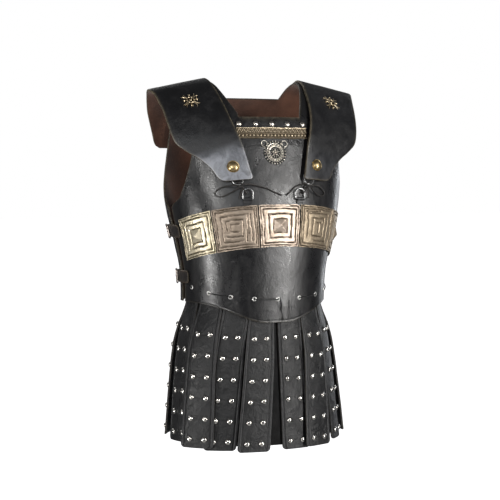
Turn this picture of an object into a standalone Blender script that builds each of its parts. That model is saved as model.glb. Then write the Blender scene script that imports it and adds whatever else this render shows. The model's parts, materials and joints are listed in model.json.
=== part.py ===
"""Leather cuirass with shoulder guards, a belt of bronze plates and a studded strip skirt.

Metres, +Z up. The front faces -Y and the wearer's left is +X. The origin is midway between
the shoulders, at the height where the shoulder straps rest.
"""

import math

import bmesh
import bpy
from mathutils import Vector
from mathutils.bvhtree import BVHTree

# Torso form, to the inner face of the leather
CHEST_HALF_BREADTH = 0.178
CHEST_FRONT = 0.139
CHEST_BACK = 0.108
TORSO_LENGTH = 0.500
SHOULDER_RIDGE_Y = 0.008
SHOULDER_SLOPE = 0.21
SHOULDER_SLOPE_FADE = 0.150
NECK_ROOT_X = 0.095

# Leather of each kind, and the clearance left under a piece that lies on another
PLATE_LEATHER = 0.0040
GUARD_LEATHER = 0.0045
SKIRT_LEATHER = 0.0030
UNDER_LEATHER = 0.0025
STRAP_LEATHER = 0.0030
TAB_LEATHER = 0.0010
SEAT_GAP = 0.0003
BELT_SEAT_GAP = 0.0008
STRAP_SEAT_GAP = 0.0008
HANG_GAP_TOP = 0.0012
HANG_GAP_FOOT = 0.0020

# Breastplate and backplate
NECKLINE_DROP = 0.0755
BACK_NECK_DROP = 0.0320
HEM_DROP_CENTRE = 0.4920
HEM_DROP_SIDE = 0.4530
HEM_FLAT_X = 0.020
HEM_END_X = 0.150
ARMPIT_DROP = 0.262
SIDE_ANGLE = 87.6
NECK_LANE_ANGLE = 15.0

# Shoulder guards
GUARD_TOP = 0.0110
GUARD_TONGUE_DROP = 0.215
GUARD_RIDGE_X = 0.107
GUARD_RIDGE_WIDTH = 0.123
GUARD_TAPER = 0.50
GUARD_CORNER_RISE = 0.0100
STAR_RADIUS = 0.0195
STAR_HEIGHT = 0.0050
STAR_X = 0.159
STAR_ROW = 3.5
GUARD_RIVET_RADIUS = 0.0122
GUARD_RIVET_HEIGHT = 0.0070
GUARD_RIVETS = {"right": (0.096, 10.0), "left": (0.090, 9.8)}

# Neck studs, trim and roundel
NECK_STUD_COUNT = 5
NECK_STUD_PITCH = 0.0355
NECK_STUD_DROP = 0.0900
NECK_STUD_RADIUS = 0.0060
NECK_STUD_HEIGHT = 0.0045
TRIM_HALF_LENGTH = 0.0770
TRIM_TOP_DROP = 0.0975
TRIM_HEIGHT = 0.0220
TRIM_THICKNESS = 0.0018
TRIM_BEADS = 20
TRIM_BEAD_HEIGHT = 0.0018
ROUNDEL_DROP = 0.1480
ROUNDEL_RADIUS = 0.0245
ROUNDEL_THICKNESS = 0.0016
ROUNDEL_HEIGHT = 0.0042
ROUNDEL_CURL_RADIUS = 0.0062
ROUNDEL_CURL_WIRE = 0.0011

# Belt of plates
BELT_PLATES = 5
BELT_CELLS = 3
BELT_PLATE_HEIGHT = 0.0840
BELT_TOP_DROP = 0.2525
BELT_SAG = 0.0300
BELT_ANGLES = (15.0, 48.5, 80.0)
BELT_EDGE_GAP_ANGLE = 0.45
BELT_THICKNESS = 0.0016
BELT_STEP_HEIGHT = 0.0016
BELT_PEAK_HEIGHT = 0.0080

# Rings, their tabs and the thongs tied through them
RING_HALF_WIDTH = 0.0120
RING_HEIGHT = 0.0215
RING_WIRE = 0.0013
RING_ARC_STEPS = 6
RING_SIDES = 6
TAB_WIDTH = 0.0170
TAB_LENGTH = 0.0130
TAB_SLACK = 0.0003
CHEST_TAB_LENGTH = 0.0100
CHEST_RING_BAR_DROP = 0.2410
CHEST_RING_TILT = 7.0
GUARD_RING_ROW = 10.95
GUARD_RING_TILT = 5.0
GUARD_RING_REST = 0.0012
THONG_RADIUS = 0.0013
THONG_STEP = 0.0074

# Hem eyelets and their lace
EYELETS = 9
EYELET_HOLE = 0.0027
EYELET_DROP = 0.4440
EYELET_RISE = 0.0220
EYELET_END_ANGLE = 77.0
LACE_RADIUS = 0.0011
LACE_STEP = 0.0066

# Side straps and buckles. The upper strap lies beside the belt's last plate, the lower one
# between that plate and the side hem; each has its share of that height and a front angle.
SIDE_STRAP_WIDTH = 0.0260
SIDE_STRAPS = (("upper", 0.282, 82.5), ("lower", 0.398, 80.0))
SIDE_STRAP_BACK_ANGLE = 128.0
BUCKLE_ANGLE = 101.0
BUCKLE_WIRE = 0.0016
BUCKLE_LENGTH = 0.0240

# Skirt
SKIRT_HALF_BREADTH = 0.178
SKIRT_FRONT = 0.119
SKIRT_BACK = 0.101
SKIRT_SQUARENESS = 2.15
SKIRT_TOP_DROP = 0.429
SKIRT_LENGTH = 0.325
SKIRT_SIDE_RISE = 0.021
SKIRT_STRIPS = 16
SKIRT_FRONT_SHARE = 0.56
WAISTBAND_HEIGHT = 0.048
STRIP_TUCK = 0.012
STRIP_TOP_SHARE = 0.950
STRIP_BOTTOM_SHARE = 1.000
STRIP_LAYER_STEP = 0.0082
STRIP_CORNER = 0.0080
STUD_ROWS = 6
STUD_PITCH = 0.0424
STUD_END_MARGIN = 0.0175
STUD_RADIUS = 0.0060
STUD_HEIGHT = 0.0044
STUD_SIDES = 5
STUD_SPREAD = 0.275
UNDER_TONGUE_SHARE = 0.90
UNDER_SHORTER = 0.010

# Torso sections from the shoulder ridge down to the hem, as shares of TORSO_LENGTH,
# CHEST_HALF_BREADTH, CHEST_FRONT and CHEST_BACK; squareness is the superellipse exponent.
TORSO_COLUMNS = ("drop", "breadth", "front", "back", "squareness")
TORSO_SECTIONS = (
    (0.000, 1.135, 0.000, 0.000, 2.2),
    (0.004, 1.135, 0.094, 0.111, 2.2),
    (0.016, 1.135, 0.209, 0.250, 2.2),
    (0.040, 1.135, 0.331, 0.389, 2.2),
    (0.088, 1.135, 0.504, 0.574, 2.2),
    (0.152, 1.130, 0.676, 0.759, 2.2),
    (0.240, 1.118, 0.784, 0.898, 2.25),
    (0.340, 1.090, 0.867, 0.972, 2.3),
    (0.450, 1.045, 0.950, 1.000, 2.35),
    (0.540, 0.997, 0.996, 0.991, 2.4),
    (0.660, 0.915, 1.000, 0.907, 2.4),
    (0.770, 0.855, 0.971, 0.824, 2.3),
    (0.886, 0.842, 0.942, 0.806, 2.25),
    (1.000, 0.856, 0.899, 0.861, 2.2),
)

# Armhole and neck edges of the two plates: drop as a share of ARMPIT_DROP, the outer edge
# and the neck edge as shares of CHEST_HALF_BREADTH.
ARMHOLE_COLUMNS = ("drop", "outer", "neck")
ARMHOLE_EDGE = (
    (0.00, 0.899, 0.562),
    (0.15, 0.882, 0.466),
    (0.29, 0.876, 0.382),
    (0.46, 0.893, 0.370),
    (0.59, 0.916, 0.350),
    (0.70, 0.945, 0.330),
    (0.80, 0.972, 0.310),
    (0.88, 0.990, 0.290),
    (1.00, 1.000, 0.270),
)

# Guard sections from the ridge to the tongue's end, front and back: drop as a share of
# GUARD_TONGUE_DROP, reach from the ridge as a share of CHEST_FRONT or CHEST_BACK, and the
# inner and outer edges as shares of GUARD_RIDGE_WIDTH out from GUARD_RIDGE_X.
GUARD_COLUMNS = ("drop", "reach", "inner", "outer")
GUARD_FRONT = (
    (0.000, 0.000, 0.000, 1.000),
    (0.024, 0.158, -0.010, 0.985),
    (0.070, 0.281, -0.025, 0.955),
    (0.149, 0.410, -0.050, 0.930),
    (0.260, 0.578, -0.080, 0.900),
    (0.400, 0.724, -0.130, 0.870),
    (0.540, 0.818, -0.200, 0.830),
    (0.650, 0.862, -0.265, 0.760),
    (0.730, 0.885, -0.300, 0.600),
    (0.790, 0.908, -0.325, 0.430),
    (0.870, 0.934, -0.355, 0.270),
    (0.940, 0.958, -0.385, 0.190),
    (1.000, 0.980, -0.400, 0.160),
)
GUARD_BACK = (
    (0.000, 0.000, 0.000, 1.000),
    (0.024, 0.204, 0.000, 0.985),
    (0.070, 0.361, -0.010, 0.955),
    (0.149, 0.519, -0.020, 0.920),
    (0.260, 0.694, -0.040, 0.870),
    (0.380, 0.824, -0.070, 0.800),
    (0.520, 0.926, -0.100, 0.720),
    (0.680, 1.000, -0.120, 0.640),
)

# Skirt sections from the waistband to the strips' feet, as shares of SKIRT_LENGTH,
# SKIRT_HALF_BREADTH, SKIRT_FRONT and SKIRT_BACK.
SKIRT_COLUMNS = ("drop", "breadth", "front", "back")
SKIRT_SECTIONS = (
    (0.000, 0.781, 0.948, 0.855),
    (0.075, 0.773, 0.934, 0.845),
    (0.150, 0.804, 0.920, 0.865),
    (0.240, 0.850, 0.920, 0.905),
    (0.400, 0.902, 0.938, 0.950),
    (0.640, 0.948, 0.970, 0.975),
    (1.000, 1.000, 1.000, 1.000),
)

# How each strip hangs, from the front centre round by the wearer's left: its shift and the
# further swing of its foot in strip widths, and how far its foot stands out as a share of
# SKIRT_SIDE_RISE. Even strips hang over odd ones.
STRIP_HANG = (
    (0.05, 0.13, 0.00),
    (0.05, -0.10, 0.05),
    (0.10, 0.05, 0.30),
    (0.10, 0.02, 0.45),
    (0.08, -0.02, 0.45),
    (0.06, 0.02, 0.25),
    (0.04, 0.00, 0.10),
    (0.01, 0.00, 0.00),
    (-0.01, 0.00, 0.00),
    (-0.03, 0.00, 0.00),
    (-0.05, -0.02, 0.00),
    (-0.07, 0.02, 0.00),
    (-0.09, 0.31, 0.00),
    (0.00, 0.00, 0.00),
    (0.00, -0.33, 0.00),
    (-0.03, -0.28, 0.05),
)

# Rings and thong of each side: side sign, breast ring, guard ring and reach of the inner tail
TIE_SIDES = (("right", -1, 0.066, 0.088, 0.084), ("left", 1, 0.047, 0.071, 0.042))

# Route of a tied thong in shares of RING_HALF_WIDTH: inward from the middle of its two rings,
# up, and out from the plate. The inner tail comes first, inward as a share of its reach.
THONG_COLUMNS = ("inward", "up", "out")
THONG_TAIL = (
    (1.00, -1.50, 0.16),
    (0.79, -0.92, 0.16),
    (0.57, -0.25, 0.22),
    (0.36, 0.10, 0.34),
    (0.17, 0.30, 0.72),
)
THONG_ROUTE = (
    (0.10, 0.24, 0.98),
    (-0.40, 0.48, 0.97),
    (-0.72, 0.62, 0.62),
    (-0.68, 0.64, 0.26),
    (-0.45, 0.28, 0.14),
    (0.30, -0.40, 0.14),
    (0.62, -0.90, 0.16),
    (0.74, -1.25, 0.42),
    (0.56, -1.18, 0.84),
    (0.15, -0.60, 1.02),
    (-0.30, -0.05, 1.00),
    (-0.95, 0.04, 1.06),
    (-1.70, 0.02, 0.84),
    (-2.90, -0.10, 0.32),
    (-3.95, -0.80, 0.24),
    (-4.05, -1.45, 0.22),
    (-3.20, -1.70, 0.24),
    (-2.20, -1.30, 0.36),
    (-1.15, -0.70, 0.84),
    (-0.40, -0.18, 1.28),
    (0.02, -0.34, 1.34),
    (-0.22, -1.05, 0.86),
    (-0.50, -2.00, 0.34),
)

SIDES = (("right", -1), ("left", 1))

MATERIALS = {
    "black_leather": ((0.016, 0.016, 0.019), 0.42, 0.0),
    "skirt_leather": ((0.014, 0.014, 0.015), 0.50, 0.0),
    "bronze": ((0.52, 0.42, 0.27), 0.40, 1.0),
    "old_silver": ((0.50, 0.47, 0.43), 0.35, 1.0),
    "nickel": ((0.72, 0.70, 0.66), 0.18, 1.0),
    "brass": ((0.66, 0.50, 0.24), 0.25, 1.0),
    "thong": ((0.035, 0.026, 0.020), 0.65, 0.0),
}


def clear_scene():
    for obj in list(bpy.data.objects):
        bpy.data.objects.remove(obj, do_unlink=True)


def make_materials():
    made = {}
    for name, (colour, roughness, metallic) in MATERIALS.items():
        material = bpy.data.materials.new(name)
        material.use_nodes = True
        shader = material.node_tree.nodes["Principled BSDF"]
        shader.inputs["Base Color"].default_value = (*colour, 1.0)
        shader.inputs["Roughness"].default_value = roughness
        shader.inputs["Metallic"].default_value = metallic
        made[name] = material
    return made


# Interpolation

def mix(a, b, share):
    return a + (b - a) * share


def smooth_step(value, start, end):
    share = min(1.0, max(0.0, (value - start) / (end - start)))
    return share * share * (3 - 2 * share)


def through(values, index):
    """Catmull-Rom value at a fractional index of evenly spaced values."""
    last = len(values) - 1
    index = min(max(index, 0.0), float(last))
    i = min(int(index), last - 1)
    f = index - i
    before = values[i - 1] if i > 0 else 2 * values[0] - values[1]
    after = values[i + 2] if i + 2 <= last else 2 * values[last] - values[last - 1]
    a, b = values[i], values[i + 1]
    return 0.5 * (
        2 * a
        + (b - before) * f
        + (2 * before - 5 * a + 4 * b - after) * f * f
        + (3 * a - 3 * b + after - before) * f**3
    )


def index_at(values, wanted):
    """Fractional index at which rising, evenly indexed values reach the wanted one."""
    low, high = 0.0, float(len(values) - 1)
    for _ in range(40):
        middle = (low + high) / 2
        if through(values, middle) < wanted:
            low = middle
        else:
            high = middle
    return (low + high) / 2


def column(rows, columns, name):
    place = columns.index(name)
    return [row[place] for row in rows]


def edge_at(rows, columns, name, share):
    drops = column(rows, columns, "drop")
    return through(column(rows, columns, name), index_at(drops, share))


# Torso surface: the profile runs from the back hem over the ridge to the front hem

ROWS = len(TORSO_SECTIONS) - 1
DROPS = column(TORSO_SECTIONS, TORSO_COLUMNS, "drop")


def there_and_back(name):
    values = column(TORSO_SECTIONS, TORSO_COLUMNS, name)
    return values[:0:-1] + values


LOOP_DROPS = there_and_back("drop")
LOOP_BREADTHS = there_and_back("breadth")
LOOP_SQUARENESS = there_and_back("squareness")
LOOP_DEPTHS = [-CHEST_BACK * v for v in column(TORSO_SECTIONS, TORSO_COLUMNS, "back")[:0:-1]]
LOOP_DEPTHS += [CHEST_FRONT * v for v in column(TORSO_SECTIONS, TORSO_COLUMNS, "front")]


def row_at(drop):
    """Profile index, 0 at the ridge, at which the torso lies this far below the ridge."""
    return index_at(DROPS, drop / TORSO_LENGTH)


def section(row):
    """Drop, half-breadth, signed depth and exponent; negative rows are on the back."""
    index = row + ROWS
    return (
        TORSO_LENGTH * through(LOOP_DROPS, index),
        CHEST_HALF_BREADTH * through(LOOP_BREADTHS, index),
        through(LOOP_DEPTHS, index),
        through(LOOP_SQUARENESS, index),
    )


def superellipse(share, power):
    return max(0.0, 1 - min(1.0, share) ** power) ** (1 / power)


def torso_at(row, degrees):
    drop, breadth, depth, power = section(row)
    x = breadth * math.sin(math.radians(degrees))
    y = SHOULDER_RIDGE_Y - depth * superellipse(abs(x) / breadth, power)
    fade = max(0.0, 1 - drop / SHOULDER_SLOPE_FADE)
    return Vector((x, y, -drop - SHOULDER_SLOPE * max(0.0, abs(x) - NECK_ROOT_X) * fade))


def lifted(surface, u, v, lift, du, dv, outward):
    """Point off a surface along its normal; outward is a point the normal points away from."""
    here = surface(u, v)
    if not lift:
        return here
    along = surface(u, v + dv) - surface(u, v - dv)
    across = surface(u + du, v) - surface(u - du, v)
    normal = across.cross(along).normalized()
    if normal.dot(here - outward) < 0:
        normal = -normal
    return here + normal * lift


def torso_point(row, angle, lift=0.0):
    """Point on the torso at a profile row and an angle of up to 90 degrees from its middle."""
    core = Vector((0, SHOULDER_RIDGE_Y, -0.10 - 0.6 * abs(section(row)[0])))

    def surface(degrees, r):
        return torso_at(min(max(r, -ROWS), ROWS), min(max(degrees, -89.9), 89.9))

    return lifted(surface, angle, row, lift, 0.8, 0.04, core)


def ring_point(drop, angle, lift=0.0):
    """Point round the torso at one height; angles past 90 degrees are on the back."""

    def surface(degrees, d):
        degrees = (degrees + 180) % 360 - 180
        row = row_at(d)
        if abs(degrees) <= 90:
            return torso_at(row, degrees)
        return torso_at(-row, math.copysign(180 - abs(degrees), degrees))

    core = Vector((0, SHOULDER_RIDGE_Y, -drop))
    return lifted(surface, angle, drop, lift, 1.5, 0.004, core)


def angle_of(x, drop):
    return math.degrees(math.asin(max(-1.0, min(1.0, x / section(row_at(drop))[1]))))


# Skirt surface: sections are walked by arc length from the front centre

SKIRT_STEPS = 90
SKIRT_RINGS = {}


def skirt_section(drop):
    share = (drop - SKIRT_TOP_DROP) / SKIRT_LENGTH
    index = index_at(column(SKIRT_SECTIONS, SKIRT_COLUMNS, "drop"), share)
    return (
        SKIRT_HALF_BREADTH * through(column(SKIRT_SECTIONS, SKIRT_COLUMNS, "breadth"), index),
        SKIRT_FRONT * through(column(SKIRT_SECTIONS, SKIRT_COLUMNS, "front"), index),
        SKIRT_BACK * through(column(SKIRT_SECTIONS, SKIRT_COLUMNS, "back"), index),
    )


def skirt_ring(drop):
    """Points round one half section, front centre to back centre, and their arc lengths."""
    key = round(drop * 1e5)
    if key not in SKIRT_RINGS:
        breadth, front, back = skirt_section(drop)
        points, lengths = [], [0.0]
        for k in range(SKIRT_STEPS + 1):
            turn = math.pi * k / SKIRT_STEPS
            depth = front if turn < math.pi / 2 else back
            x = breadth * abs(math.sin(turn)) ** (2 / SKIRT_SQUARENESS)
            y = -depth * math.copysign(abs(math.cos(turn)) ** (2 / SKIRT_SQUARENESS), math.cos(turn))
            points.append(Vector((x, y)))
        for a, b in zip(points, points[1:]):
            lengths.append(lengths[-1] + (b - a).length)
        SKIRT_RINGS[key] = (points, lengths)
    return SKIRT_RINGS[key]


def strip_width(drop, place):
    """Length round the skirt that one strip takes, at a place counted in strips."""
    quarter = SKIRT_STRIPS / 4
    place = (place + 2 * quarter) % SKIRT_STRIPS - 2 * quarter
    share = SKIRT_FRONT_SHARE if abs(place) < quarter else 1 - SKIRT_FRONT_SHARE
    return skirt_ring(drop)[1][-1] * share / quarter


def skirt_point(drop, place, lift=0.0):
    """Point on the skirt at a height and a place counted in strips from the front centre.

    Positive places go round by the wearer's left.
    """
    points, lengths = skirt_ring(drop)
    quarter = SKIRT_STRIPS / 4
    place = (place + 2 * quarter) % SKIRT_STRIPS - 2 * quarter
    front = min(abs(place), quarter) * SKIRT_FRONT_SHARE / quarter
    back = max(abs(place) - quarter, 0.0) * (1 - SKIRT_FRONT_SHARE) / quarter
    arc = math.copysign((front + back) * lengths[-1], place)
    side = math.copysign(1.0, arc)
    walked = min(abs(arc), lengths[-1] - 1e-9)
    k = next(i for i in range(SKIRT_STEPS) if lengths[i + 1] > walked)
    share = (walked - lengths[k]) / (lengths[k + 1] - lengths[k])

    def tangent(i):
        a, b = points[max(i - 1, 0)], points[min(i + 1, SKIRT_STEPS)]
        if i == 0:
            return Vector((1, 0))
        if i == SKIRT_STEPS:
            return Vector((-1, 0))
        return (b - a).normalized()

    flat = points[k].lerp(points[k + 1], share)
    along = tangent(k).lerp(tangent(k + 1), share).normalized()
    out = Vector((-along.y, along.x)) * -1
    flat = flat + out * lift
    return Vector((flat.x * side, flat.y, -drop))


# Mesh building

def add_object(name, data, material):
    obj = bpy.data.objects.new(name, data)
    if material:
        obj.data.materials.append(material)
    bpy.context.scene.collection.objects.link(obj)
    return obj


def finish_mesh(name, bm, material, sharp_degrees=35):
    bmesh.ops.remove_doubles(bm, verts=bm.verts, dist=1e-6)
    bmesh.ops.recalc_face_normals(bm, faces=bm.faces)
    mesh = bpy.data.meshes.new(name)
    bm.to_mesh(mesh)
    bm.free()
    mesh.shade_smooth()
    mesh.set_sharp_from_angle(angle=math.radians(sharp_degrees))
    return add_object(name, mesh, material)


def sheet(name, place, columns, rows, material, keep=None, apex=None):
    """Closed solid over a grid: place(i, j, outer) gives a point of either face.

    keep(i, j) says which cells are leather; apex(i, j) may give a point raised over a cell.
    """
    bm = bmesh.new()
    kept = {(i, j) for i in range(columns) for j in range(rows) if keep is None or keep(i, j)}
    points = {}

    def vert(i, j, outer):
        if (i, j, outer) not in points:
            points[i, j, outer] = bm.verts.new(place(i, j, outer))
        return points[i, j, outer]

    for i, j in sorted(kept):
        loop = [(i, j), (i + 1, j), (i + 1, j + 1), (i, j + 1)]
        top = [vert(*corner, True) for corner in loop]
        tip = apex(i, j) if apex else None
        if tip is None:
            bm.faces.new(top)
        else:
            tip = bm.verts.new(tip)
            for k in range(4):
                bm.faces.new((top[k], top[(k + 1) % 4], tip))
        bm.faces.new([vert(*corner, False) for corner in reversed(loop)])
        beside = ((i, j - 1), (i + 1, j), (i, j + 1), (i - 1, j))
        for k, neighbour in enumerate(beside):
            if neighbour not in kept:
                a, b = loop[k], loop[(k + 1) % 4]
                bm.faces.new((vert(*b, True), vert(*a, True), vert(*a, False), vert(*b, False)))
    return finish_mesh(name, bm, material)


def lathe(bm, profile, sides, place):
    """Turned solid; profile is (radius, height) from the base centre to the top centre."""
    rings = []
    for radius, height in profile:
        if radius < 1e-9:
            rings.append([bm.verts.new(place(0, 0, height))])
            continue
        turns = [2 * math.pi * (k + 0.5) / sides for k in range(sides)]
        rings.append([bm.verts.new(place(radius * math.cos(a), radius * math.sin(a), height)) for a in turns])
    for low, high in zip(rings, rings[1:]):
        for k in range(sides):
            n = (k + 1) % sides
            if len(low) == 1:
                bm.faces.new((low[0], high[n], high[k]))
            elif len(high) == 1:
                bm.faces.new((low[k], low[n], high[0]))
            else:
                bm.faces.new((low[k], low[n], high[n], high[k]))


def torso_patch(x, drop, lift):
    """Place function for a small piece on the front: right, up and out from a centre."""

    def place(dx, dy, dz):
        d = drop - dy
        return torso_point(row_at(d), angle_of(x + dx, d), lift + dz)

    return place


def flat_patch(origin, outward):
    """Place function of a flat piece: right, up and out from an origin."""
    z = outward.normalized()
    x = Vector((0, 0, 1)).cross(z).normalized()
    y = z.cross(x)
    return lambda dx, dy, dz: origin + x * dx + y * dy + z * dz


def seat_tree(*objects):
    """Search tree of the plates as they are meshed, to rest small pieces on."""
    points, faces = [], []
    for obj in objects:
        start = len(points)
        points += [v.co.copy() for v in obj.data.vertices]
        faces += [[start + k for k in face.vertices] for face in obj.data.polygons]
    return BVHTree.FromPolygons(points, faces)


def rise_over(tree, spots):
    """How far the meshed leather stands at most over any of some (point, outward) spots."""
    rises = []
    for point, outward in spots:
        hit = tree.ray_cast(point + outward * 0.03, -outward, 0.06)[0]
        if hit is not None:
            rises.append((hit - point).dot(outward))
    return max(rises)


def seated_patch(tree, origin, outward, reach_x, reach_y):
    """Flat place function resting on the leather; it covers reach_x and reach_y each way."""
    place = flat_patch(origin, outward)
    normal = outward.normalized()
    spots = [
        (place(i * reach_x / 3, j * reach_y / 3, 0), normal) for i in range(-3, 4) for j in range(-3, 4)
    ]
    return flat_patch(origin + normal * (rise_over(tree, spots) + SEAT_GAP), outward)


def dome_profile(radius, height):
    return (
        (0.0, 0.0),
        (radius, 0.0),
        (radius * 0.93, height * 0.42),
        (radius * 0.58, height * 0.85),
        (0.0, height),
    )


def tube(name, centres, sides, radius, material, axis):
    """Closed loop of round wire through the given centres; axis is square to its plane."""
    bm = bmesh.new()
    rings = []
    count = len(centres)
    for k, centre in enumerate(centres):
        along = (centres[(k + 1) % count] - centres[k - 1]).normalized()
        side = axis.cross(along).normalized()
        up = along.cross(side)
        ring = []
        for n in range(sides):
            turn = 2 * math.pi * (n + 0.5) / sides
            ring.append(bm.verts.new(centre + (side * math.cos(turn) + up * math.sin(turn)) * radius))
        rings.append(ring)
    for k in range(count):
        a, b = rings[k], rings[(k + 1) % count]
        for n in range(sides):
            m = (n + 1) % sides
            bm.faces.new((a[n], a[m], b[m], b[n]))
    return finish_mesh(name, bm, material)


def smooth_route(points, step):
    """Evenly spaced points on a Catmull-Rom curve through the given ones."""
    steps = 16
    axes = [[p[k] for p in points] for k in range(3)]
    count = (len(points) - 1) * steps
    fine = [Vector([through(axis, i / steps) for axis in axes]) for i in range(count + 1)]
    length = sum((b - a).length for a, b in zip(fine, fine[1:]))
    parts = max(2, round(length / step))
    spaced, walked = [fine[0]], 0.0
    for a, b in zip(fine, fine[1:]):
        part = (b - a).length
        while len(spaced) < parts and walked + part >= length * len(spaced) / parts:
            spaced.append(a.lerp(b, (length * len(spaced) / parts - walked) / part))
        walked += part
    return spaced + [fine[-1]]


def cord(name, points, radius, step, material):
    curve = bpy.data.curves.new(name, "CURVE")
    curve.dimensions = "3D"
    curve.bevel_depth = radius
    curve.bevel_resolution = 2
    curve.use_fill_caps = True
    route = smooth_route(points, step)
    spline = curve.splines.new("POLY")
    spline.points.add(len(route) - 1)
    for target, point in zip(spline.points, route):
        target.co = (*point, 1.0)
    return add_object(name, curve, material)


def boolean(obj, tool, operation):
    tool.hide_render = True
    tool.display_type = "WIRE"
    modifier = obj.modifiers.new(operation.lower(), "BOOLEAN")
    modifier.operation = operation
    modifier.solver = "EXACT"
    modifier.object = tool


# Breastplate and backplate

LANES = [BELT_ANGLES[0] / BELT_CELLS, BELT_ANGLES[0]]
for low, high in zip(BELT_ANGLES, BELT_ANGLES[1:]):
    LANES += [mix(low, high, (k + 1) / BELT_CELLS) for k in range(BELT_CELLS)]
LANES.append(SIDE_ANGLE)
LANE_ANGLES = [-angle for angle in reversed(LANES)] + LANES


def belt_drop(angle, share):
    """Drop on the belt at an angle; share runs from its top edge to its lower edge."""
    return BELT_TOP_DROP + BELT_SAG * (angle / BELT_ANGLES[-1]) ** 2 + BELT_PLATE_HEIGHT * share


def hem_drop(angle, front):
    if not front:
        return HEM_DROP_SIDE
    x = section(row_at(HEM_DROP_SIDE))[1] * abs(math.sin(math.radians(angle)))
    return mix(HEM_DROP_CENTRE, HEM_DROP_SIDE, smooth_step(x, HEM_FLAT_X, HEM_END_X))


def eyelet_drop(angle):
    return EYELET_DROP - EYELET_RISE * (angle / EYELET_END_ANGLE) ** 2


def plate_drop(kind, value, angle, front, neck_drop):
    if kind == "hem":
        return hem_drop(angle, front)
    if kind == "low":
        return mix(belt_drop(angle, 1.0), hem_drop(angle, front), value)
    if kind == "belt":
        return belt_drop(angle, value)
    if kind == "chest":
        armpit = belt_drop(angle, 0.0) - belt_drop(SIDE_ANGLE, 0.0) + ARMPIT_DROP
        return mix(armpit, neck_drop, value)
    return value


def lane_angle(lane, drop, row):
    """Angle of a grid lane where armhole and neck narrow the plate."""
    nominal = abs(LANE_ANGLES[lane])
    breadth = section(row)[1]
    share = min(1.0, drop / ARMPIT_DROP)
    outer = CHEST_HALF_BREADTH * edge_at(ARMHOLE_EDGE, ARMHOLE_COLUMNS, "outer", share)
    neck = CHEST_HALF_BREADTH * edge_at(ARMHOLE_EDGE, ARMHOLE_COLUMNS, "neck", share)
    side = mix(
        math.degrees(math.asin(min(0.9995, outer / breadth))),
        SIDE_ANGLE,
        smooth_step(drop, ARMPIT_DROP * 0.90, ARMPIT_DROP),
    )
    inner = math.degrees(math.asin(neck / breadth))
    inner = mix(inner, NECK_LANE_ANGLE, smooth_step(drop, NECKLINE_DROP, ARMPIT_DROP * 0.7))
    if nominal <= NECK_LANE_ANGLE + 1e-6:
        angle = nominal * inner / NECK_LANE_ANGLE
    else:
        angle = mix(inner, side, (nominal - NECK_LANE_ANGLE) / (SIDE_ANGLE - NECK_LANE_ANGLE))
    return math.copysign(angle, LANE_ANGLES[lane])


def body_plate(name, front, neck_drop, material):
    """One half of the cuirass: a curved sheet with two shoulder straps and a square neck."""
    sign = 1 if front else -1
    rows = [("hem", 0), ("low", 0.5), ("belt", 1.0), ("belt", 0.5), ("belt", 0.0)]
    rows += [("chest", share) for share in (0.0, 0.25, 0.5, 0.72, 0.88, 1.0)]
    neck_row = len(rows) - 1
    rows += [("strap", d) for d in (0.054, 0.034, 0.017, 0.006) if d < neck_drop - 0.008]
    rows.append(("ridge", 0.03))

    def place(i, j, outer):
        kind, value = rows[j]
        lift = PLATE_LEATHER if outer else 0.0
        if kind == "ridge":
            return torso_point(sign * value, lane_angle(i, 0.0, 0.0), lift)
        drop = plate_drop(kind, value, LANE_ANGLES[i], front, neck_drop)
        row = row_at(drop)
        return torso_point(sign * row, lane_angle(i, drop, row), lift)

    def keep(i, j):
        middle = (LANE_ANGLES[i] + LANE_ANGLES[i + 1]) / 2
        return j < neck_row or abs(middle) > NECK_LANE_ANGLE

    return sheet(name, place, len(LANE_ANGLES) - 1, len(rows) - 1, material, keep)


def eyelet_frames():
    for k in range(EYELETS):
        angle = EYELET_END_ANGLE * (2 * k / (EYELETS - 1) - 1)
        yield angle, eyelet_drop(angle)


def punch_eyelets(plate):
    bm = bmesh.new()
    for angle, drop in eyelet_frames():
        outer = ring_point(drop, angle, 0.012)
        inner = ring_point(drop, angle, -0.012)
        place = flat_patch(inner, outer - inner)
        length = (outer - inner).length
        profile = ((0, 0), (EYELET_HOLE, 0), (EYELET_HOLE, length), (0, length))
        lathe(bm, profile, 8, place)
    boolean(plate, finish_mesh("eyelet_punch", bm, None), "DIFFERENCE")


# Shoulder guards

GUARD_ROWS = len(GUARD_FRONT) - 1
GUARD_BACK_ROWS = len(GUARD_BACK) - 1


def guard_column(name, back_factor=1.0):
    back = [v * back_factor for v in column(GUARD_BACK, GUARD_COLUMNS, name)]
    return back[:0:-1] + column(GUARD_FRONT, GUARD_COLUMNS, name)


GUARD_DROPS = guard_column("drop")
GUARD_REACHES = guard_column("reach", -CHEST_BACK / CHEST_FRONT)
GUARD_INNER = guard_column("inner")
GUARD_OUTER = guard_column("outer")


def guard_at(x, row, extra=0.0):
    """Outer face of a guard on the +X side; negative rows are behind the ridge."""
    index = row + GUARD_BACK_ROWS
    drop = GUARD_TONGUE_DROP * through(GUARD_DROPS, index) + extra
    beyond = x / CHEST_HALF_BREADTH - 0.42
    narrow = GUARD_TAPER * (beyond + math.sqrt(beyond**2 + 0.012)) / 2
    reach = CHEST_FRONT * through(GUARD_REACHES, index) * (1.058 - narrow)
    fade = max(0.0, 1 - drop / SHOULDER_SLOPE_FADE)
    fall = SHOULDER_SLOPE * max(0.0, x - NECK_ROOT_X) * fade
    return Vector((x, SHOULDER_RIDGE_Y - reach, GUARD_TOP - drop - fall))


def guard_edges(row):
    index = row + GUARD_BACK_ROWS
    inner = GUARD_RIDGE_X + GUARD_RIDGE_WIDTH * through(GUARD_INNER, index)
    outer = GUARD_RIDGE_X + GUARD_RIDGE_WIDTH * through(GUARD_OUTER, index)
    return inner, outer


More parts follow.
